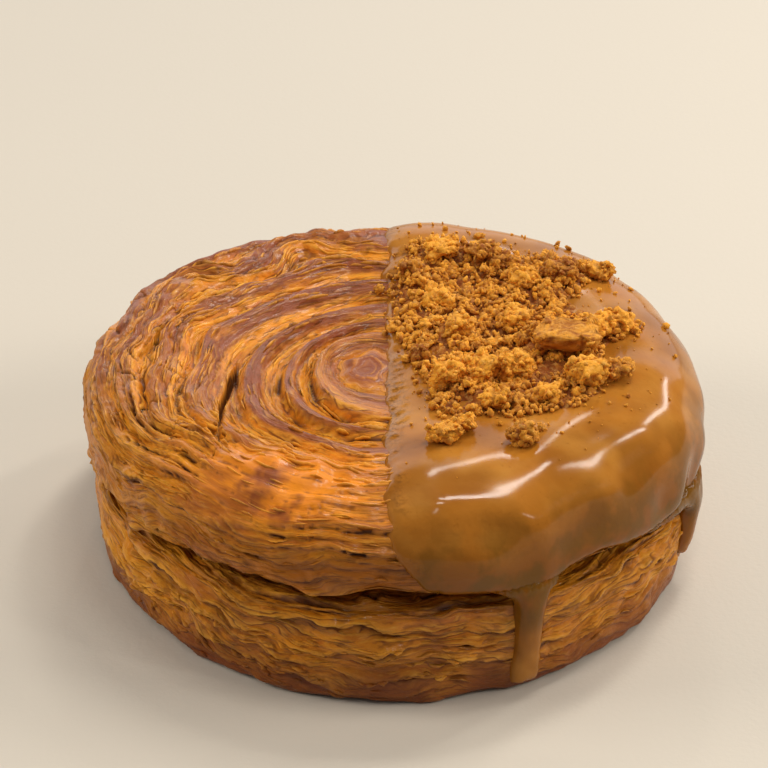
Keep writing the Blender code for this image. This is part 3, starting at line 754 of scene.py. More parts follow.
def icing_sheet():
    """The icing: softly lumpy, with a fat rounded hem and an edge that sinks between the layers."""
    outline = icing_outline()
    places, faces, rim = filled(outline, 0.62, (0.12, 0.35, 0.7, 1.2))
    places = puddled(places)
    x, y = places.T
    edge = outline_distance(places, puddled(outline))
    edge[:rim] = 0.0
    s, beside = np.hypot(x, y), min_across(np.arctan2(y, x))
    inside = x - chord_place(y, 0.0)
    chord = (1.0 - rise(1.0, 6.0, inside)) * (1 - rise(62, 66, s))
    inward = rise(-0.5, 6.0 + 14.0 * rise(44, 58, s), inside)
    near_rim = np.clip(edge / 2.2, 0, 1)
    round_over = np.sqrt(near_rim * (2 - near_rim))
    bead = 0.45 * bell(edge - 2.2, 1.5) * rise(56.0, 64.0, s) * rise(3.0, 9.0, beside)
    neck = 1.2 * bell(s - 68.0, 4.5) * (1 - rise(2.5, 7.0, beside))
    full = icing_lumps(x, y, edge) * (0.22 + 0.78 * inward) + bead * inward + neck
    foot = -0.8 * chord - (0.25 + 0.35 * rise(66, 70, s)) * (1 - chord)
    ripple = 0.24 * LUMP_NOISE(x / 1.6, y / 1.6, 3.0) * wetness(x, y) * rise(0.0, 1.2, edge)
    top = evened(foot + (full - foot) * round_over, faces, rim, 10) + ripple
    bottom = foot - 0.35 * np.clip(edge / 0.7, 0, 1)
    points, faces = laid_over(places, faces, rim, top, bottom)
    points[:, 2] = np.maximum(points[:, 2], ICING_FLOOR)
    return points, faces, places, top


# ---- the crumbs

def ball(levels):
    """The corners and triangles of a round ball, split from an icosahedron."""
    g = (1 + 5**0.5) / 2
    points = [(-1, g, 0), (1, g, 0), (-1, -g, 0), (1, -g, 0), (0, -1, g), (0, 1, g),
              (0, -1, -g), (0, 1, -g), (g, 0, -1), (g, 0, 1), (-g, 0, -1), (-g, 0, 1)]
    faces = [(0, 11, 5), (0, 5, 1), (0, 1, 7), (0, 7, 10), (0, 10, 11), (1, 5, 9), (5, 11, 4),
             (11, 10, 2), (10, 7, 6), (7, 1, 8), (3, 9, 4), (3, 4, 2), (3, 2, 6), (3, 6, 8),
             (3, 8, 9), (4, 9, 5), (2, 4, 11), (6, 2, 10), (8, 6, 7), (9, 8, 1)]
    points = [np.array(p) / np.linalg.norm(p) for p in points]
    for _ in range(levels):
        middles, split = {}, []

        def middle(i, j):
            key = (min(i, j), max(i, j))
            if key not in middles:
                p = points[i] + points[j]
                points.append(p / np.linalg.norm(p))
                middles[key] = len(points) - 1
            return middles[key]

        for a, b, c in faces:
            ab, bc, ca = middle(a, b), middle(b, c), middle(c, a)
            split += [(a, ab, ca), (b, bc, ab), (c, ca, bc), (ab, bc, ca)]
        faces = split
    return np.array(points), np.array(faces)


def turned(count, chance):
    """Random turns, as matrices."""
    q = chance.normal(size=(count, 4))
    w, x, y, z = (q / np.linalg.norm(q, axis=1)[:, None]).T
    rows = [
        [1 - 2 * (y * y + z * z), 2 * (x * y - z * w), 2 * (x * z + y * w)],
        [2 * (x * y + z * w), 1 - 2 * (x * x + z * z), 2 * (y * z - x * w)],
        [2 * (x * z - y * w), 2 * (y * z + x * w), 1 - 2 * (x * x + y * y)],
    ]
    return np.moveaxis(np.array(rows), -1, 0)


def grains(middles, sizes, chance, levels):
    """Rough clots of biscuit with creases between their knobs: points, triangles and tones, with painted
    shade in the creases.
    """
    corners, faces = ball(levels)
    count = len(middles)
    seeds = chance.uniform(0, 90, size=(count, 1, 3))
    place = corners[None] * (0.9 + 0.35 * sizes[:, None, None]) * 1.7 + seeds
    knobs = np.abs(HEAP_NOISE(*np.moveaxis(place, -1, 0)))
    finer = np.abs(HEAP_NOISE(*np.moveaxis(place * 2.3, -1, 0)))
    uneven = 0.6 + 0.85 * knobs + 0.5 * finer + chance.uniform(-0.16, 0.16, size=knobs.shape)
    squash = chance.uniform(0.55, 1.3, size=(count, 1, 3))
    points = np.einsum("nij,nkj->nki", turned(count, chance), corners * uneven[..., None] * squash)
    points = points * sizes[:, None, None] + middles[:, None, :]
    index = faces[None] + (np.arange(count) * len(corners))[:, None, None]
    # Each grain's tone differs at random, and is darker in the creases between its knobs as painted shade.
    tone = np.clip(chance.uniform(-0.2, 0.6, size=(count, 1)) + 1.3 * knobs + 0.8 * finer, 0, 1)
    return points.reshape(-1, 3), index.reshape(-1, 3), tone.ravel()


class Bed:
    """What the crumbs lie on: the icing's top, as a height above the skin."""

    def __init__(self, places, top):
        self.cell = 1.5
        self.low = places.min(axis=0)
        size = ((places.max(axis=0) - self.low) / self.cell).astype(int) + 2
        self.heights = np.zeros(size)
        i, j = ((places - self.low) / self.cell).astype(int).T
        np.maximum.at(self.heights, (i, j), top)

    def height(self, x, y):
        """The icing's height above the skin."""
        i = np.clip(((x - self.low[0]) / self.cell).astype(int), 0, self.heights.shape[0] - 1)
        j = np.clip(((y - self.low[1]) / self.cell).astype(int), 0, self.heights.shape[1] - 1)
        return self.heights[i, j]

    def above(self, x, y, lift):
        """Points at a lift above the icing."""
        return on_skin(x, y) + skin_normal(x, y) * (self.height(x, y) + lift)[:, None]


def heap_outline():
    """The heap's uneven edge on the flat."""
    places = np.array(HEAP_EDGE_PLACES)
    closed = np.vstack([places[-2:], places, places[:3]])
    line = spline(closed, 1.0)
    along = lengths(line)
    start = np.argmin(np.linalg.norm(line - places[0], axis=1))
    end = start + 20 + np.argmin(np.linalg.norm(line[start + 20:] - places[0], axis=1))
    return line[start:end]


HEAP = heap_outline()
HEAP_NOISE = Noise(8)
# The large lumps: place, length, width, height, and how much paler than the rest
LUMPS = (
    (30.6, -4.2, 11.0, 6.5, 3.6, -0.2), (9.5, -13.8, 7.0, 5.0, 4.8, 0.3),
    (15.0, -12.3, 7.4, 5.0, 5.4, 0.35), (20.5, -11.3, 6.0, 4.6, 4.8, 0.3),
    (36.4, 1.8, 6.4, 4.8, 3.8, 0.3), (40.3, 3.4, 5.0, 3.8, 3.2, 0.2),
    (31.2, 21.4, 7.0, 5.6, 3.8, -0.4), (37.8, 23.8, 5.2, 3.6, 2.6, 0.0),
    (33.2, -15.3, 7.0, 5.4, 4.4, 0.2), (38.3, -12.9, 4.8, 4.2, 3.4, -0.2),
    (21.4, -33.8, 5.0, 4.2, 3.2, -0.25), (8.3, -31.9, 5.4, 4.4, 2.7, 0.05),
    (11.8, -28.7, 3.8, 3.2, 2.4, 0.15), (24.0, 19.4, 6.4, 5.2, 3.4, 0.2),
    (9.0, 30.2, 6.4, 5.0, 2.8, 0.2), (17.0, 28.3, 6.4, 5.0, 3.0, -0.35),
    (3.4, 24.1, 4.6, 3.6, 2.8, -0.45), (22.0, 6.2, 5.4, 4.6, 3.2, 0.1),
    (12.0, 2.9, 5.0, 4.4, 2.8, 0.15), (8.0, 13.7, 5.2, 4.4, 2.8, 0.25),
    (4.4, -4.6, 3.4, 3.0, 2.6, -0.5), (26.0, -19.7, 4.6, 3.8, 2.8, 0.2),
    (17.5, -21.1, 4.6, 3.8, 2.6, 0.2), (20.5, 25.3, 4.4, 3.6, 2.8, -0.3),
)
SLAB_LENGTH = 10.0  # a lump longer than this is a flat slab
# Holes in the heap: place, half length, half width
HOLLOWS = (
    (30.0, -9.6, 5.5, 2.2), (36.5, 11.5, 5.5, 3.4), (6.3, -2.6, 2.6, 2.0), (12.5, -20.5, 3.0, 1.6),
)
CLUMPS = 170
CLUMP_GRAINS = 10
# The clots on the heap and the grains round it: how finely split, how many, smallest, largest
CLOTS = ((2, 50, 0.8, 1.3), (1, 1000, 0.4, 0.8), (0, 1500, 0.22, 0.5))
STREWN = ((2, 190, 0.5, 1.2, 3.5), (0, 2400, 0.14, 0.6, 5.0))  # and how far out they reach


def hollow(x, y):
    """Where the heap has holes, the largest under the front of the slab: 1 in their middles."""
    return np.max([hill(x, y, *hole) for hole in HOLLOWS], axis=0)


def on_heap(chance, count):
    """Random places on the heap, away from its holes."""
    places = chance.uniform(HEAP.min(axis=0), HEAP.max(axis=0), size=(count, 2))
    return places[within(places, HEAP) & (hollow(*places.T) < 0.35)]


def heap_height(x, y):
    """How deep the fine crumbs lie on the icing."""
    places = np.stack([x, y], axis=-1)
    inside = np.where(within(places, HEAP), outline_distance(places, HEAP), 0.0)
    uneven = np.maximum(0.1, 1.3 * (0.6 + 1.5 * HEAP_NOISE.rough(x / 7, y / 7, 2.0)))
    gaps = rise(0.1, 0.32, HEAP_NOISE(x / 5.5 + 40, y / 5.5, 8.0))
    return rise(0.0, 5.0, inside) * uneven * (1 - 0.95 * hollow(x, y)) * (1 - 0.8 * gaps)


def joined_up(parts):
    """Several meshes as one: points, faces and tones."""
    starts = np.cumsum([0, *(len(points) for points, _, _ in parts)])
    faces = np.vstack([index + start for (_, index, _), start in zip(parts, starts)])
    return np.vstack([p for p, _, _ in parts]), faces, np.concatenate([t for _, _, t in parts])


def heap_bed(bed):
    """The close-packed bed of the heap, one crumbly sheet on the icing."""
    places, faces, rim = filled(HEAP, 0.5, (0.3, 0.8))
    x, y = places.T
    edge = outline_distance(places, HEAP)
    edge[:rim] = 0.0
    knobs = np.abs(HEAP_NOISE(x / 1.9, y / 1.9, 9.0)) + 0.6 * np.abs(HEAP_NOISE(x / 0.95, y / 0.95, 5.0))
    rough = knobs * rise(0.0, 1.2, edge)
    top = bed.height(x, y) + (heap_height(x, y) * 0.75 + 1.5 * rough - 0.5) * rise(-0.5, 1.5, edge)
    bottom = bed.height(x, y) - 0.5 - 0.3 * rise(0, 1, edge)
    points, faces = laid_over(places, faces, rim, top, bottom)
    # Darker where the bed lies low between its knobs: painted shade.
    tone = np.clip(0.8 * knobs - 0.3, 0, 1)
    return points, faces, np.concatenate([tone, tone[rim:]])


def strewn_places(chance, count, reach):
    """Places round the heap, fewer and fewer further off, some of them on the bare pastry."""
    places = chance.uniform((-7, -46), (50, 46), size=(count, 2))
    away = outline_distance(places, HEAP)
    keep = ~within(places, HEAP) & (np.hypot(*places.T) < 50)
    keep &= chance.uniform(size=count) < 0.6 * np.exp(-away / reach)
    keep &= (places[:, 0] > 1.0) | (away < 4.0) & (places[:, 1] > 8.0)
    return places[keep]


def fine_crumbs(bed, chance):
    """The fine crumbs: the bed of the heap, clots of many sizes on it, and grains strewn round it."""
    parts = [heap_bed(bed)]
    for levels, count, small, large in CLOTS:
        places = on_heap(chance, 4 * count)[: int(0.85 * count)]
        size = small + (large - small) * chance.uniform(size=len(places)) ** 1.6
        lift = heap_height(*places.T) * chance.uniform(0.6, 1.1, size=len(places)) + 0.35 * size + 0.2
        parts.append(grains(bed.above(*places.T, lift), size, chance, levels))
    for levels, count, small, large, reach in STREWN:
        places = strewn_places(chance, count, reach)
        size = small + (large - small) * chance.uniform(size=len(places)) ** 2.5
        parts.append(grains(bed.above(*places.T, 0.45 * size), size, chance, levels))
    return joined_up(parts)


def clumps(bed, chance):
    """Grains pressed together into small clumps all over the heap."""
    middles = on_heap(chance, 420)[:CLUMPS]
    wide = np.repeat(chance.uniform(0.7, 1.5, size=len(middles)), CLUMP_GRAINS)
    off = chance.normal(0, 0.6, size=(len(wide), 2)) * wide[:, None]
    places = np.repeat(middles, CLUMP_GRAINS, axis=0) + off
    dome = np.maximum(0.0, 1.25 - 0.8 * np.hypot(*off.T) / wide) * wide
    size = chance.uniform(0.35, 0.75, size=len(places))
    lift = 0.8 * heap_height(*places.T) + dome * chance.uniform(0.5, 1.1, size=len(places)) + 0.3 * size
    return grains(bed.above(*places.T, lift), size, chance, 1)


def lump_body(place, size, chance, bed):
    """One lump of biscuit: a knobbly body, tilted a little, lying on the crumbs."""
    slab = size[0] > SLAB_LENGTH
    corners, faces = ball(4 if slab else 3)
    square, half = (0.35, 0.46) if slab else (0.75, 0.41)
    shape = np.sign(corners) * np.abs(corners) ** square * np.array(size) * half
    seed = chance.uniform(0, 90)
    warp = [HEAP_NOISE(*(shape / 2.6 + seed + k).T) for k in (3, 11, 19)]
    knobs, finer, finest = (np.abs(HEAP_NOISE(*(shape / pitch + seed).T)) for pitch in (1.9, 0.85, 0.45))
    rough = 1.2 * knobs + 0.75 * finer + 0.45 * finest - 0.45
    if slab:
        rough = 0.55 * rough * (1 - 0.7 * rise(0.2, 0.7, corners[:, 2]))
    shape = shape + 0.5 * np.stack(warp, axis=-1) * [2.2, 2.2, 1.4] + corners * rough[:, None]
    angle = chance.uniform(-0.5, 0.5)
    c, s = math.cos(angle), math.sin(angle)
    shape = shape @ np.array([[c, s, 0], [-s, c, 0], [0, 0, 1.0]])
    x, y = np.array(place)[:, None]
    lift = 0.6 * heap_height(x, y) + 0.42 * size[2] + (2.2 if slab else 0.3)
    # Darker in the creases between the knobs as painted shade, with a random shift.
    tone = np.clip(chance.uniform(-0.15, 0.1) + 1.1 * knobs + 1.1 * finer + 0.6 * finest, 0, 1)
    return shape + bed.above(x, y, lift)[0], faces, tone


def lumps(bed, chance):
    """The lumps of biscuit, each with grains stuck all over it. The slab shows more of itself."""
    parts = []
    for x, y, *size, light in LUMPS:
        slab = size[0] > SLAB_LENGTH
        points, faces, tone = lump_body((x, y), size, chance, bed)
        parts.append((points, faces, np.clip(tone + light, 0, 1)))
        stuck = chance.integers(0, len(points), size=int((3 if slab else 10) * size[0]))
        fine, index, tone = grains(points[stuck], chance.uniform(0.3, 0.75, size=len(stuck)), chance, 1)
        parts.append((fine, index, np.clip(tone + light, 0, 1)))
    return joined_up(parts)


# ---- finishes


class Paint:
    """One material: coats of colour laid over a base, joined to its Principled BSDF."""

    def __init__(self, name, base, sockets):
        self.material = bpy.data.materials.new(name)
        self.material.use_nodes = True
        self.tree = self.material.node_tree
        self.shader = self.tree.nodes["Principled BSDF"]
        self.join(self.shader, sockets)
        self.where = self.node("ShaderNodeTexCoord").outputs["Object"]
        self.colour = (*base, 1.0)

    def join(self, node, inputs):
        """Sets a node's sockets to numbers and colours, or links them to other nodes."""
        for key, value in inputs.items():
            if isinstance(value, bpy.types.NodeSocket):
                self.tree.links.new(value, node.inputs[key])
            else:
                node.inputs[key].default_value = value

    def node(self, kind, inputs=(), **settings):
        made = self.tree.nodes.new(kind)
        for key, value in settings.items():
            setattr(made, key, value)
        self.join(made, dict(inputs))
        return made

    def kept(self, name, output="Fac"):
        """What is kept on the mesh's points: a number, or a place among the layers."""
        return self.node("ShaderNodeAttribute", attribute_name=name).outputs[output]

    def along_layers(self, across, along):
        """Coordinates that follow the layers: their sizes in millimetres across and along."""
        inputs = {"Vector": self.kept("layers", "Vector"), "Scale": (1 / across, 1 / along, 1 / along)}
        return self.node("ShaderNodeMapping", inputs).outputs["Vector"]

    def leaves(self, pitch, length):
        """Thin leaves along the layers: how far out each point is in its leaf, and where they show."""
        out = self.node("ShaderNodeSeparateXYZ", {"Vector": self.kept("layers", "Vector")}).outputs["X"]
        bend = self.times(self.noise(self.along_layers(3.5, length), 1.0, 2.0), 4.0)
        leaf = self.maths("FRACT", self.maths("ADD", self.times(out, 1 / pitch), bend), 0.0)
        return leaf, self.between(self.noise(self.along_layers(1.8, 5.0), 1.0, 2.0), 0.44, 0.6)

    def noise(self, where, scale, detail=3.0, roughness=0.55):
        inputs = {"Vector": where, "Scale": scale, "Detail": detail, "Roughness": roughness}
        return self.node("ShaderNodeTexNoise", inputs).outputs["Fac"]

    def cloud(self, scale, low, high, most=1.0, detail=3.0):
        """Soft patches: none where the noise is under low, and the most over high."""
        return self.between(self.noise(self.where, scale, detail), low, high, 0.0, most)

    def between(self, value, low, high, to_low=0.0, to_high=1.0):
        """The value's stretch from low to high, made 0 to 1 or other ends."""
        inputs = {"Value": value, "From Min": low, "From Max": high, "To Min": to_low, "To Max": to_high}
        return self.node("ShaderNodeMapRange", inputs).outputs["Result"]

    def maths(self, how, a, b):
        return self.node("ShaderNodeMath", {0: a, 1: b}, operation=how).outputs[0]

    def times(self, a, b):
        return self.maths("MULTIPLY", a, b)

    def coat(self, share, tone):
        """Lays a colour over what is there, as much as the share says."""
        inputs = {0: share, 6: self.colour, 7: (*tone, 1.0)}
        self.colour = self.node("ShaderNodeMix", inputs, data_type="RGBA").outputs[2]

    def finished(self, bumps, **more):
        """The material, with its colour joined on and each bump laid over the one before."""
        over = {}
        for height, distance in bumps:
            bump = self.node("ShaderNodeBump", {"Height": height, "Distance": distance, **over})
            over = {"Normal": bump.outputs["Normal"]}
        self.join(self.shader, {"Base Color": self.colour, **over, **more})
        return self.material


def baked(paint, look, strand, band, patch):
    """The colours of the dough: golden, olive at the sides, and browned on the crests."""
    blister, browned = paint.kept("blister"), paint.kept("browned")
    paint.coat(paint.between(band, 0.42, 0.68), look.amber)
    paint.coat(paint.times(paint.kept("side"), paint.between(patch, 0.35, 0.6)), look.olive)
    paint.coat(paint.times(blister, 0.7), look.glow)
    paint.coat(paint.times(blister, paint.cloud(120.0, 0.52, 0.64)), look.crust)
    paint.coat(paint.times(paint.kept("tanned"), paint.between(band, 0.36, 0.56, 0.25, 1.0)), look.crust)
    broken = paint.between(paint.noise(paint.along_layers(3.0, 9.0), 1.0), 0.24, 0.42)
    spots = paint.cloud(70.0, 0.54, 0.68, 0.6, 4.0)
    paint.coat(paint.maths("MAXIMUM", paint.times(browned, broken), spots), look.crust)
    # Pale edges and threads along the layers: paler dough, and partly painted highlight.
    bare = paint.between(browned, 0.0, 1.0, 1.0, 0.3)
    paint.coat(paint.times(paint.times(paint.kept("edge"), bare), 0.55), look.pale)
    thread = paint.times(paint.kept("fine"), paint.between(strand, 0.55, 0.72, 0.0, 0.65))
    paint.coat(paint.times(thread, bare), look.pale)


def leafy(paint, look, strand):
    """Fine leaves with pale edges, partly painted highlight, and painted shade between them, on the sides
    and in the grooves. Gives their height.
    """
    fine = paint.kept("fine")
    leaf, there = paint.leaves(0.95, 9.0)
    there = paint.times(there, fine)
    # Pale near each leaf's edge: paler dough, and partly painted highlight.
    bright = paint.times(paint.between(leaf, 0.4, 0.8), paint.between(leaf, 0.97, 0.88))
    bright = paint.times(bright, paint.between(paint.kept("browned"), 0.0, 1.0, 0.55, 0.15))
    paint.coat(paint.times(bright, there), look.pale)
    # Painted shade on the sides, in sienna.
    paint.coat(paint.times(paint.kept("shelter"), 0.84), look.sienna)
    # Painted shade just past each leaf's edge and at its root.
    dark = paint.maths("MAXIMUM", paint.between(leaf, 0.9, 0.98), paint.between(leaf, 0.15, 0.0))
    paint.coat(paint.times(paint.times(dark, there), 0.85), look.umber)
    # Dark lines along the layers: painted shade in the fine gaps between them.
    paint.coat(paint.times(fine, paint.between(strand, 0.46, 0.36, 0.0, 0.5)), look.umber)
    # Painted shade deep in the grooves.
    paint.coat(paint.between(paint.kept("hollow"), 0.08, 0.7, 0.0, 0.96), look.groove_shade)
    paint.coat(paint.times(paint.kept("foot"), 0.85), look.foot)
    return paint.maths("ADD", paint.times(strand, fine), paint.times(leaf, there))


def pastry_paint(look):
    """Golden layers, purple-brown crests, painted shade in the grooves and on the sides, and an egg-washed
    sheen.
    """
    sheen = {"Roughness": 0.4, "Coat Weight": 0.26, "Coat Roughness": 0.18, "Specular IOR Level": 0.22}
    paint = Paint("browned_pastry", look.golden, sheen)
    strand = paint.noise(paint.along_layers(0.7, 3.2), 1.0, 3.0, 0.6)
    band = paint.noise(paint.along_layers(2.0, 9.0), 1.0, 2.0)
    patch = paint.noise(paint.where, 130.0)
    baked(paint, look, strand, band, patch)
    height = leafy(paint, look, strand)
    grain = paint.noise(paint.where, 1500.0, 2.0)
    return paint.finished(
        [(height, 0.0004), (grain, 0.00006)], Roughness=paint.between(patch, 0.3, 0.7, 0.34, 0.55)
    )


def icing_paint(look):
    """Glossy caramel, a little cloudy, browner where it is thin, and painted darker down the side as
    shade.
    """
    gloss = {"Roughness": 0.3, "Coat Weight": 0.75, "Coat Roughness": 0.14, "Coat IOR": 1.38}
    paint = Paint("caramel_icing", look.caramel, {**gloss, "Specular IOR Level": 0.0})
    side = paint.kept("side")
    patch = paint.noise(paint.where, 110.0)
    paint.coat(paint.between(patch, 0.4, 0.66), look.caramel_pale)
    paint.coat(paint.cloud(75.0, 0.46, 0.64, 0.6, 2.0), look.caramel_dark)
    # Painted shade down the icing's side.
    paint.coat(paint.times(side, 0.95), look.caramel_dark)
    paint.coat(paint.times(paint.cloud(150.0, 0.44, 0.56, 0.9), side), look.caramel_olive)
    paint.coat(paint.cloud(900.0, 0.62, 0.75, 0.3, 2.0), look.caramel_dark)
    paint.coat(paint.between(paint.kept("thin"), 0.0, 1.0, 0.0, 0.35), look.caramel_dark)
    swell = paint.noise(paint.where, 260.0)
    beads = paint.times(paint.noise(paint.where, 900.0, 1.0), paint.kept("wet"))
    return paint.finished(
        [(swell, 0.0003), (beads, 0.0018)], Roughness=paint.between(patch, 0.3, 0.7, 0.24, 0.4)
    )


def crumb_paint(look):
    """Dry, porous biscuit: each grain with its own tone and painted shade in its creases, painted
    highlight flecks and painted shade in the pores.
    """
    paint = Paint("biscuit_crumb", look.crumb_dark, {"Roughness": 0.85})
    # The tone holds random tone and painted shade in the creases.
    paint.coat(paint.kept("tone"), look.crumb)
    fleck = paint.noise(paint.where, 1300.0, 3.0, 0.65)
    # Painted highlight flecks.
    paint.coat(paint.between(fleck, 0.5, 0.7, 0.0, 0.4), look.crumb_fleck_highlight)
    # Painted shade in the pores.
    paint.coat(paint.between(fleck, 0.42, 0.28, 0.0, 0.6), look.crumb_pore_shade)
    return paint.finished([(paint.noise(paint.where, 2200.0, 3.0, 0.7), 0.0003)])


def floor_paint(look):
    """Plain pale matt card with the faintest tooth."""
    paint = Paint("pale_card", [0.97 * part for part in look.floor], {"Roughness": 0.8})
    paint.coat(paint.noise(paint.where, 8.0), look.floor)
    return paint.finished([(paint.noise(paint.where, 900.0, 2.0), 0.00005)])


# ---- what a user can change


def tint(name, text, default):
    return bpy.props.FloatVectorProperty(
        name=name, description=text, default=default, size=3, min=0.0, max=1.0, subtype="COLOR"
    )


class PastryLook(bpy.types.PropertyGroup):
    """The pastry's colours."""

    golden: tint("Golden", "Layers that show between the crests", (0.80, 0.285, 0.014))
    amber: tint("Amber", "Layers baked a little more", (0.56, 0.150, 0.005))
    glow: tint("Glow", "The smooth blistered skin", (0.90, 0.270, 0.012))
    olive: tint("Olive", "Sheltered layers on the sides", (0.70, 0.250, 0.005))
    # Pale paints the layers' thin edges: paler dough, and partly painted highlight.
    pale: tint("Pale", "The thin edges of the layers", (0.90, 0.45, 0.05))
    crust: tint("Crust", "Browned crests", (0.265, 0.063, 0.018))
    # Sienna is painted shade on the sides.
    sienna: tint("Sienna", "The shaded sides", (0.30, 0.080, 0.004))
    umber: tint("Umber", "The shadow between the leaves", (0.16, 0.040, 0.004))
    # Groove is painted shade deep between the layers.
    groove_shade: tint("Groove", "Deep between the layers", (0.10, 0.024, 0.003))
    foot: tint("Foot", "Against the baking tray", (0.175, 0.038, 0.009))


class IcingLook(bpy.types.PropertyGroup):
    """The icing's colours."""

    caramel: tint("Caramel", "The icing's main colour", (0.42, 0.152, 0.016))
    caramel_pale: tint("Pale caramel", "Cloudy places", (0.48, 0.200, 0.030))
    caramel_olive: tint("Olive caramel", "Murky places down the side", (0.155, 0.066, 0.005))
    # Dark caramel: mottling, thin places, and painted shade down the side.
    caramel_dark: tint("Dark caramel", "Down the side and where it is thin", (0.215, 0.067, 0.004))


class CrumbLook(bpy.types.PropertyGroup):
    """The crumbs' colours."""

    crumb: tint("Crumb", "The crumbs' main colour", (0.90, 0.385, 0.030))
    # Dark crumb: browner grains, and painted shade in the creases.
    crumb_dark: tint("Dark crumb", "The browner grains", (0.28, 0.068, 0.005))
    # The pale flecks are painted highlights, and the deep crumb is painted shade in the pores.
    crumb_fleck_highlight: tint("Pale crumb", "Flecks that catch the light", (0.96, 0.56, 0.15))
    crumb_pore_shade: tint("Deep crumb", "The pores", (0.18, 0.040, 0.004))


class StudioLook(bpy.types.PropertyGroup):
    """The floor and the lights."""

    floor: tint("Floor", "The card that the roll stands on", (0.63, 0.57, 0.48))
    strength: bpy.props.FloatProperty(
        name="Light", description="How strong the lights are",
        default=1.0, min=0.1, max=5.0, subtype="FACTOR",
    )


# ---- operators


class ROLL_OT_pastry(bpy.types.Operator):
    """Builds the two halves of the pastry and the flakes on them"""

    bl_idname = "roll.pastry"
    bl_label = "Pastry"

    def execute(self, context):
        paint = pastry_paint(context.scene.roll_pastry)
        slivers = flakes(np.random.default_rng(7))
        pieces = {"upper_half": upper_half(), "lower_half": lower_half(), "flakes": slivers}
        for name, (*made, shade) in pieces.items():
            new_piece(f"pastry_{name}", made, paint, "roll", shade)
        return {"FINISHED"}


class ROLL_OT_icing(bpy.types.Operator):
    """Builds the icing with its drips"""

    bl_idname = "roll.icing"
    bl_label = "Icing"

    def execute(self, context):
        points, faces, places, top = icing_sheet()
        under = len(points) - len(places)
        s = np.hypot(*places.T)
        thin = 1.0 - rise(-0.2, 1.1, top)
        # Where the icing's side is painted darker as shade; less on the drips.
        side = rise(48.0, 62.0, s) * (1 - 0.8 * rise(69.0, 75.0, s))
        shade = {
            "thin": np.concatenate([thin, np.ones(under)]),
            "side": np.concatenate([side, np.ones(under)]),
            "wet": np.concatenate([wetness(*places.T), np.zeros(under)]),
        }
        paint = icing_paint(context.scene.roll_icing)
        new_piece("caramel_icing", (points, faces), paint, "icing", shade)
        return {"FINISHED"}


class ROLL_OT_crumbs(bpy.types.Operator):
    """Builds the biscuit crumbs: the fine ones, the clumps and the lumps"""

    bl_idname = "roll.crumbs"
    bl_label = "Crumbs"

    def execute(self, context):
        _, _, places, top = icing_sheet()
        bed = Bed(places, top)
        paint = crumb_paint(context.scene.roll_crumbs)
        chance = np.random.default_rng(42)
        makers = {"fine_crumbs": fine_crumbs, "crumb_clumps": clumps, "biscuit_lumps": lumps}
        for name, make in makers.items():
            *made, tone = make(bed, chance)
            new_piece(name, made, paint, "crumb_heap", {"tone": tone})
        return {"FINISHED"}


# The ceiling's panels: place along X and Y, length, turn about Z, width, power
PANELS = (
    (0.17, 0.22, 0.17, 8, 0.06, 0.95), (0.255, 0.33, 0.17, 70, 0.085, 1.15),
    (0.06, 0.97, 0.3, 73, 0.08, 1.1), (0.085, -0.05, 0.16, 30, 0.05, 0.7),
    (0.8, -0.42, 0.4, -25, 0.04, 1.2), (-0.015, -0.5, 0.3, 77, 0.06, 0.6),
    (0.605, 0.35, 0.23, 40, 0.06, 1.25), (0.80, 0.565, 0.3, 45, 0.07, 1.9),
    (1.0, 1.1, 0.6, 63, 0.1, 3.2),
)
PANEL_HEIGHT = 0.75
PANEL_TONE = (1.0, 0.96, 0.9)
# The cards and lamps: place, size, power, tone, and whether glossy surfaces mirror them
LAMPS = {
    "wide_card": ((-0.1, 0.15, 1.0), (1.5, 1.5), 0.4, (1.0, 0.97, 0.92), True),
    "top_card": ((-0.1, 0.2, 0.9), (0.8, 0.8), 0.4, (1.0, 0.97, 0.92), True),
    "left_lamp": ((-0.66, -0.03, 0.36), (0.3, 0.3), 2.6, (1.0, 0.95, 0.88), False),
    "right_lamp": ((0.62, -0.06, 0.35), (0.3, 0.2), 2.1, (1.0, 0.95, 0.88), False),
    "back_card": ((0, 1.0, 0.3), (1.8, 0.5), 3.4, (0.94, 0.97, 1.0), True),
}
LAMP_TARGET = (0, 0, 0.03)
SKY = {"Color": (0.98, 0.98, 1.0, 1.0), "Strength": 0.155}
FLOOR_SIZE = 3000.0  # millimetres from the middle to each side
# The camera looks at a place in millimetres, from a distance in metres
CAMERA_TARGET = (-1.35, 0.0, 30.3)
CAMERA_DISTANCE = 0.45
CAMERA_ELEVATION = 31.0
CAMERA_LENS = 121.875


class ROLL_OT_studio(bpy.types.Operator):
    """Sets up the floor, the lights and the camera"""

    bl_idname = "roll.studio"
    bl_label = "Studio"

    def execute(self, context):
        scene = context.scene
        corners = [(-1, -1, 0), (1, -1, 0), (1, 1, 0), (-1, 1, 0)]
        card = floor_paint(scene.roll_studio)
        floor = linked("floor", new_mesh("floor", FLOOR_SIZE * np.array(corners), [(0, 1, 2, 3)], card))
        set_lights(scene.roll_studio.strength)
        set_sky(scene, scene.roll_studio.strength)
        set_camera(scene)
        scene.view_settings.view_transform = "Standard"
        return {"FINISHED"}


def aimed(obj, place, target):
    """Puts a lamp or the camera at a place, facing a target."""
    obj.location = place
    obj.rotation_euler = (Vector(target) - Vector(place)).to_track_quat("-Z", "Y").to_euler()


def lamp(name, size, watts, tone):
    """One soft rectangular lamp."""
    light = bpy.data.lights.new(name, "AREA")
    light.shape = "RECTANGLE"
    light.size, light.size_y = size
    light.energy = watts
    light.color = tone
    return linked(name, light)


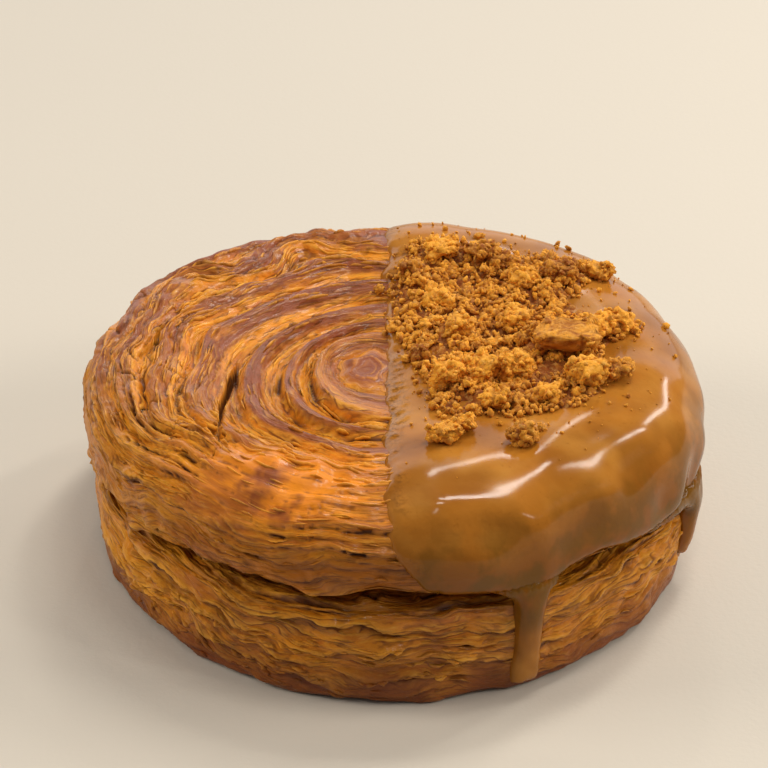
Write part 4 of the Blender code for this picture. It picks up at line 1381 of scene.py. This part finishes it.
def set_lights(strength):
    """The ceiling's panels, and the cards and lamps round the roll."""
    for number, (x, y, length, turn, width, watts) in enumerate(PANELS):
        panel = lamp(f"panel_{number}", (length, width), watts * strength, PANEL_TONE)
        panel.location = (x, y, PANEL_HEIGHT)
        panel.rotation_euler = (0.0, 0.0, math.radians(turn))
    for name, (place, size, watts, tone, glossy) in LAMPS.items():
        made = lamp(name, size, watts * strength, tone)
        made.visible_glossy = glossy
        aimed(made, place, LAMP_TARGET)


def set_sky(scene, strength):
    """Even light from all round."""
    scene.world = scene.world or bpy.data.worlds.new("studio")
    scene.world.use_nodes = True
    sky = scene.world.node_tree.nodes["Background"].inputs
    sky["Color"].default_value = SKY["Color"]
    sky["Strength"].default_value = SKY["Strength"] * strength


def set_camera(scene):
    """The camera looks down at the roll from the front."""
    target, elevation = Vector(CAMERA_TARGET) * M, math.radians(CAMERA_ELEVATION)
    lens = bpy.data.cameras.new("camera")
    lens.sensor_width = 36.0
    lens.lens = CAMERA_LENS
    lens.clip_start = 0.01
    camera = linked("camera", lens)
    place = target + CAMERA_DISTANCE * Vector((0.0, -math.cos(elevation), math.sin(elevation)))
    aimed(camera, place, target)
    scene.camera = camera


class ROLL_PT_panel(bpy.types.Panel):
    """Lists what the add-on builds"""

    bl_label = "Croissant roll"
    bl_space_type = "VIEW_3D"
    bl_region_type = "UI"
    bl_category = "Roll"

    def draw(self, context):
        for group, operator in STEPS:
            box = self.layout.box()
            look = getattr(context.scene, group)
            for key in look.__annotations__:
                box.prop(look, key)
            box.operator(operator)


STEPS = (
    ("roll_pastry", "roll.pastry"),
    ("roll_icing", "roll.icing"),
    ("roll_crumbs", "roll.crumbs"),
    ("roll_studio", "roll.studio"),
)
LOOKS = {
    "roll_pastry": PastryLook,
    "roll_icing": IcingLook,
    "roll_crumbs": CrumbLook,
    "roll_studio": StudioLook,
}
OPERATORS = (ROLL_OT_pastry, ROLL_OT_icing, ROLL_OT_crumbs, ROLL_OT_studio)
CLASSES = (*LOOKS.values(), *OPERATORS, ROLL_PT_panel)


def register():
    for cls in CLASSES:
        bpy.utils.register_class(cls)
    for name, look in LOOKS.items():
        setattr(bpy.types.Scene, name, bpy.props.PointerProperty(type=look))


def unregister():
    for name in LOOKS:
        delattr(bpy.types.Scene, name)
    for cls in reversed(CLASSES):
        bpy.utils.unregister_class(cls)


def main():
    """Builds everything in order."""
    register()
    bpy.ops.roll.pastry()
    bpy.ops.roll.icing()
    bpy.ops.roll.crumbs()
    bpy.ops.roll.studio()


if __name__ == "__main__":
    main()
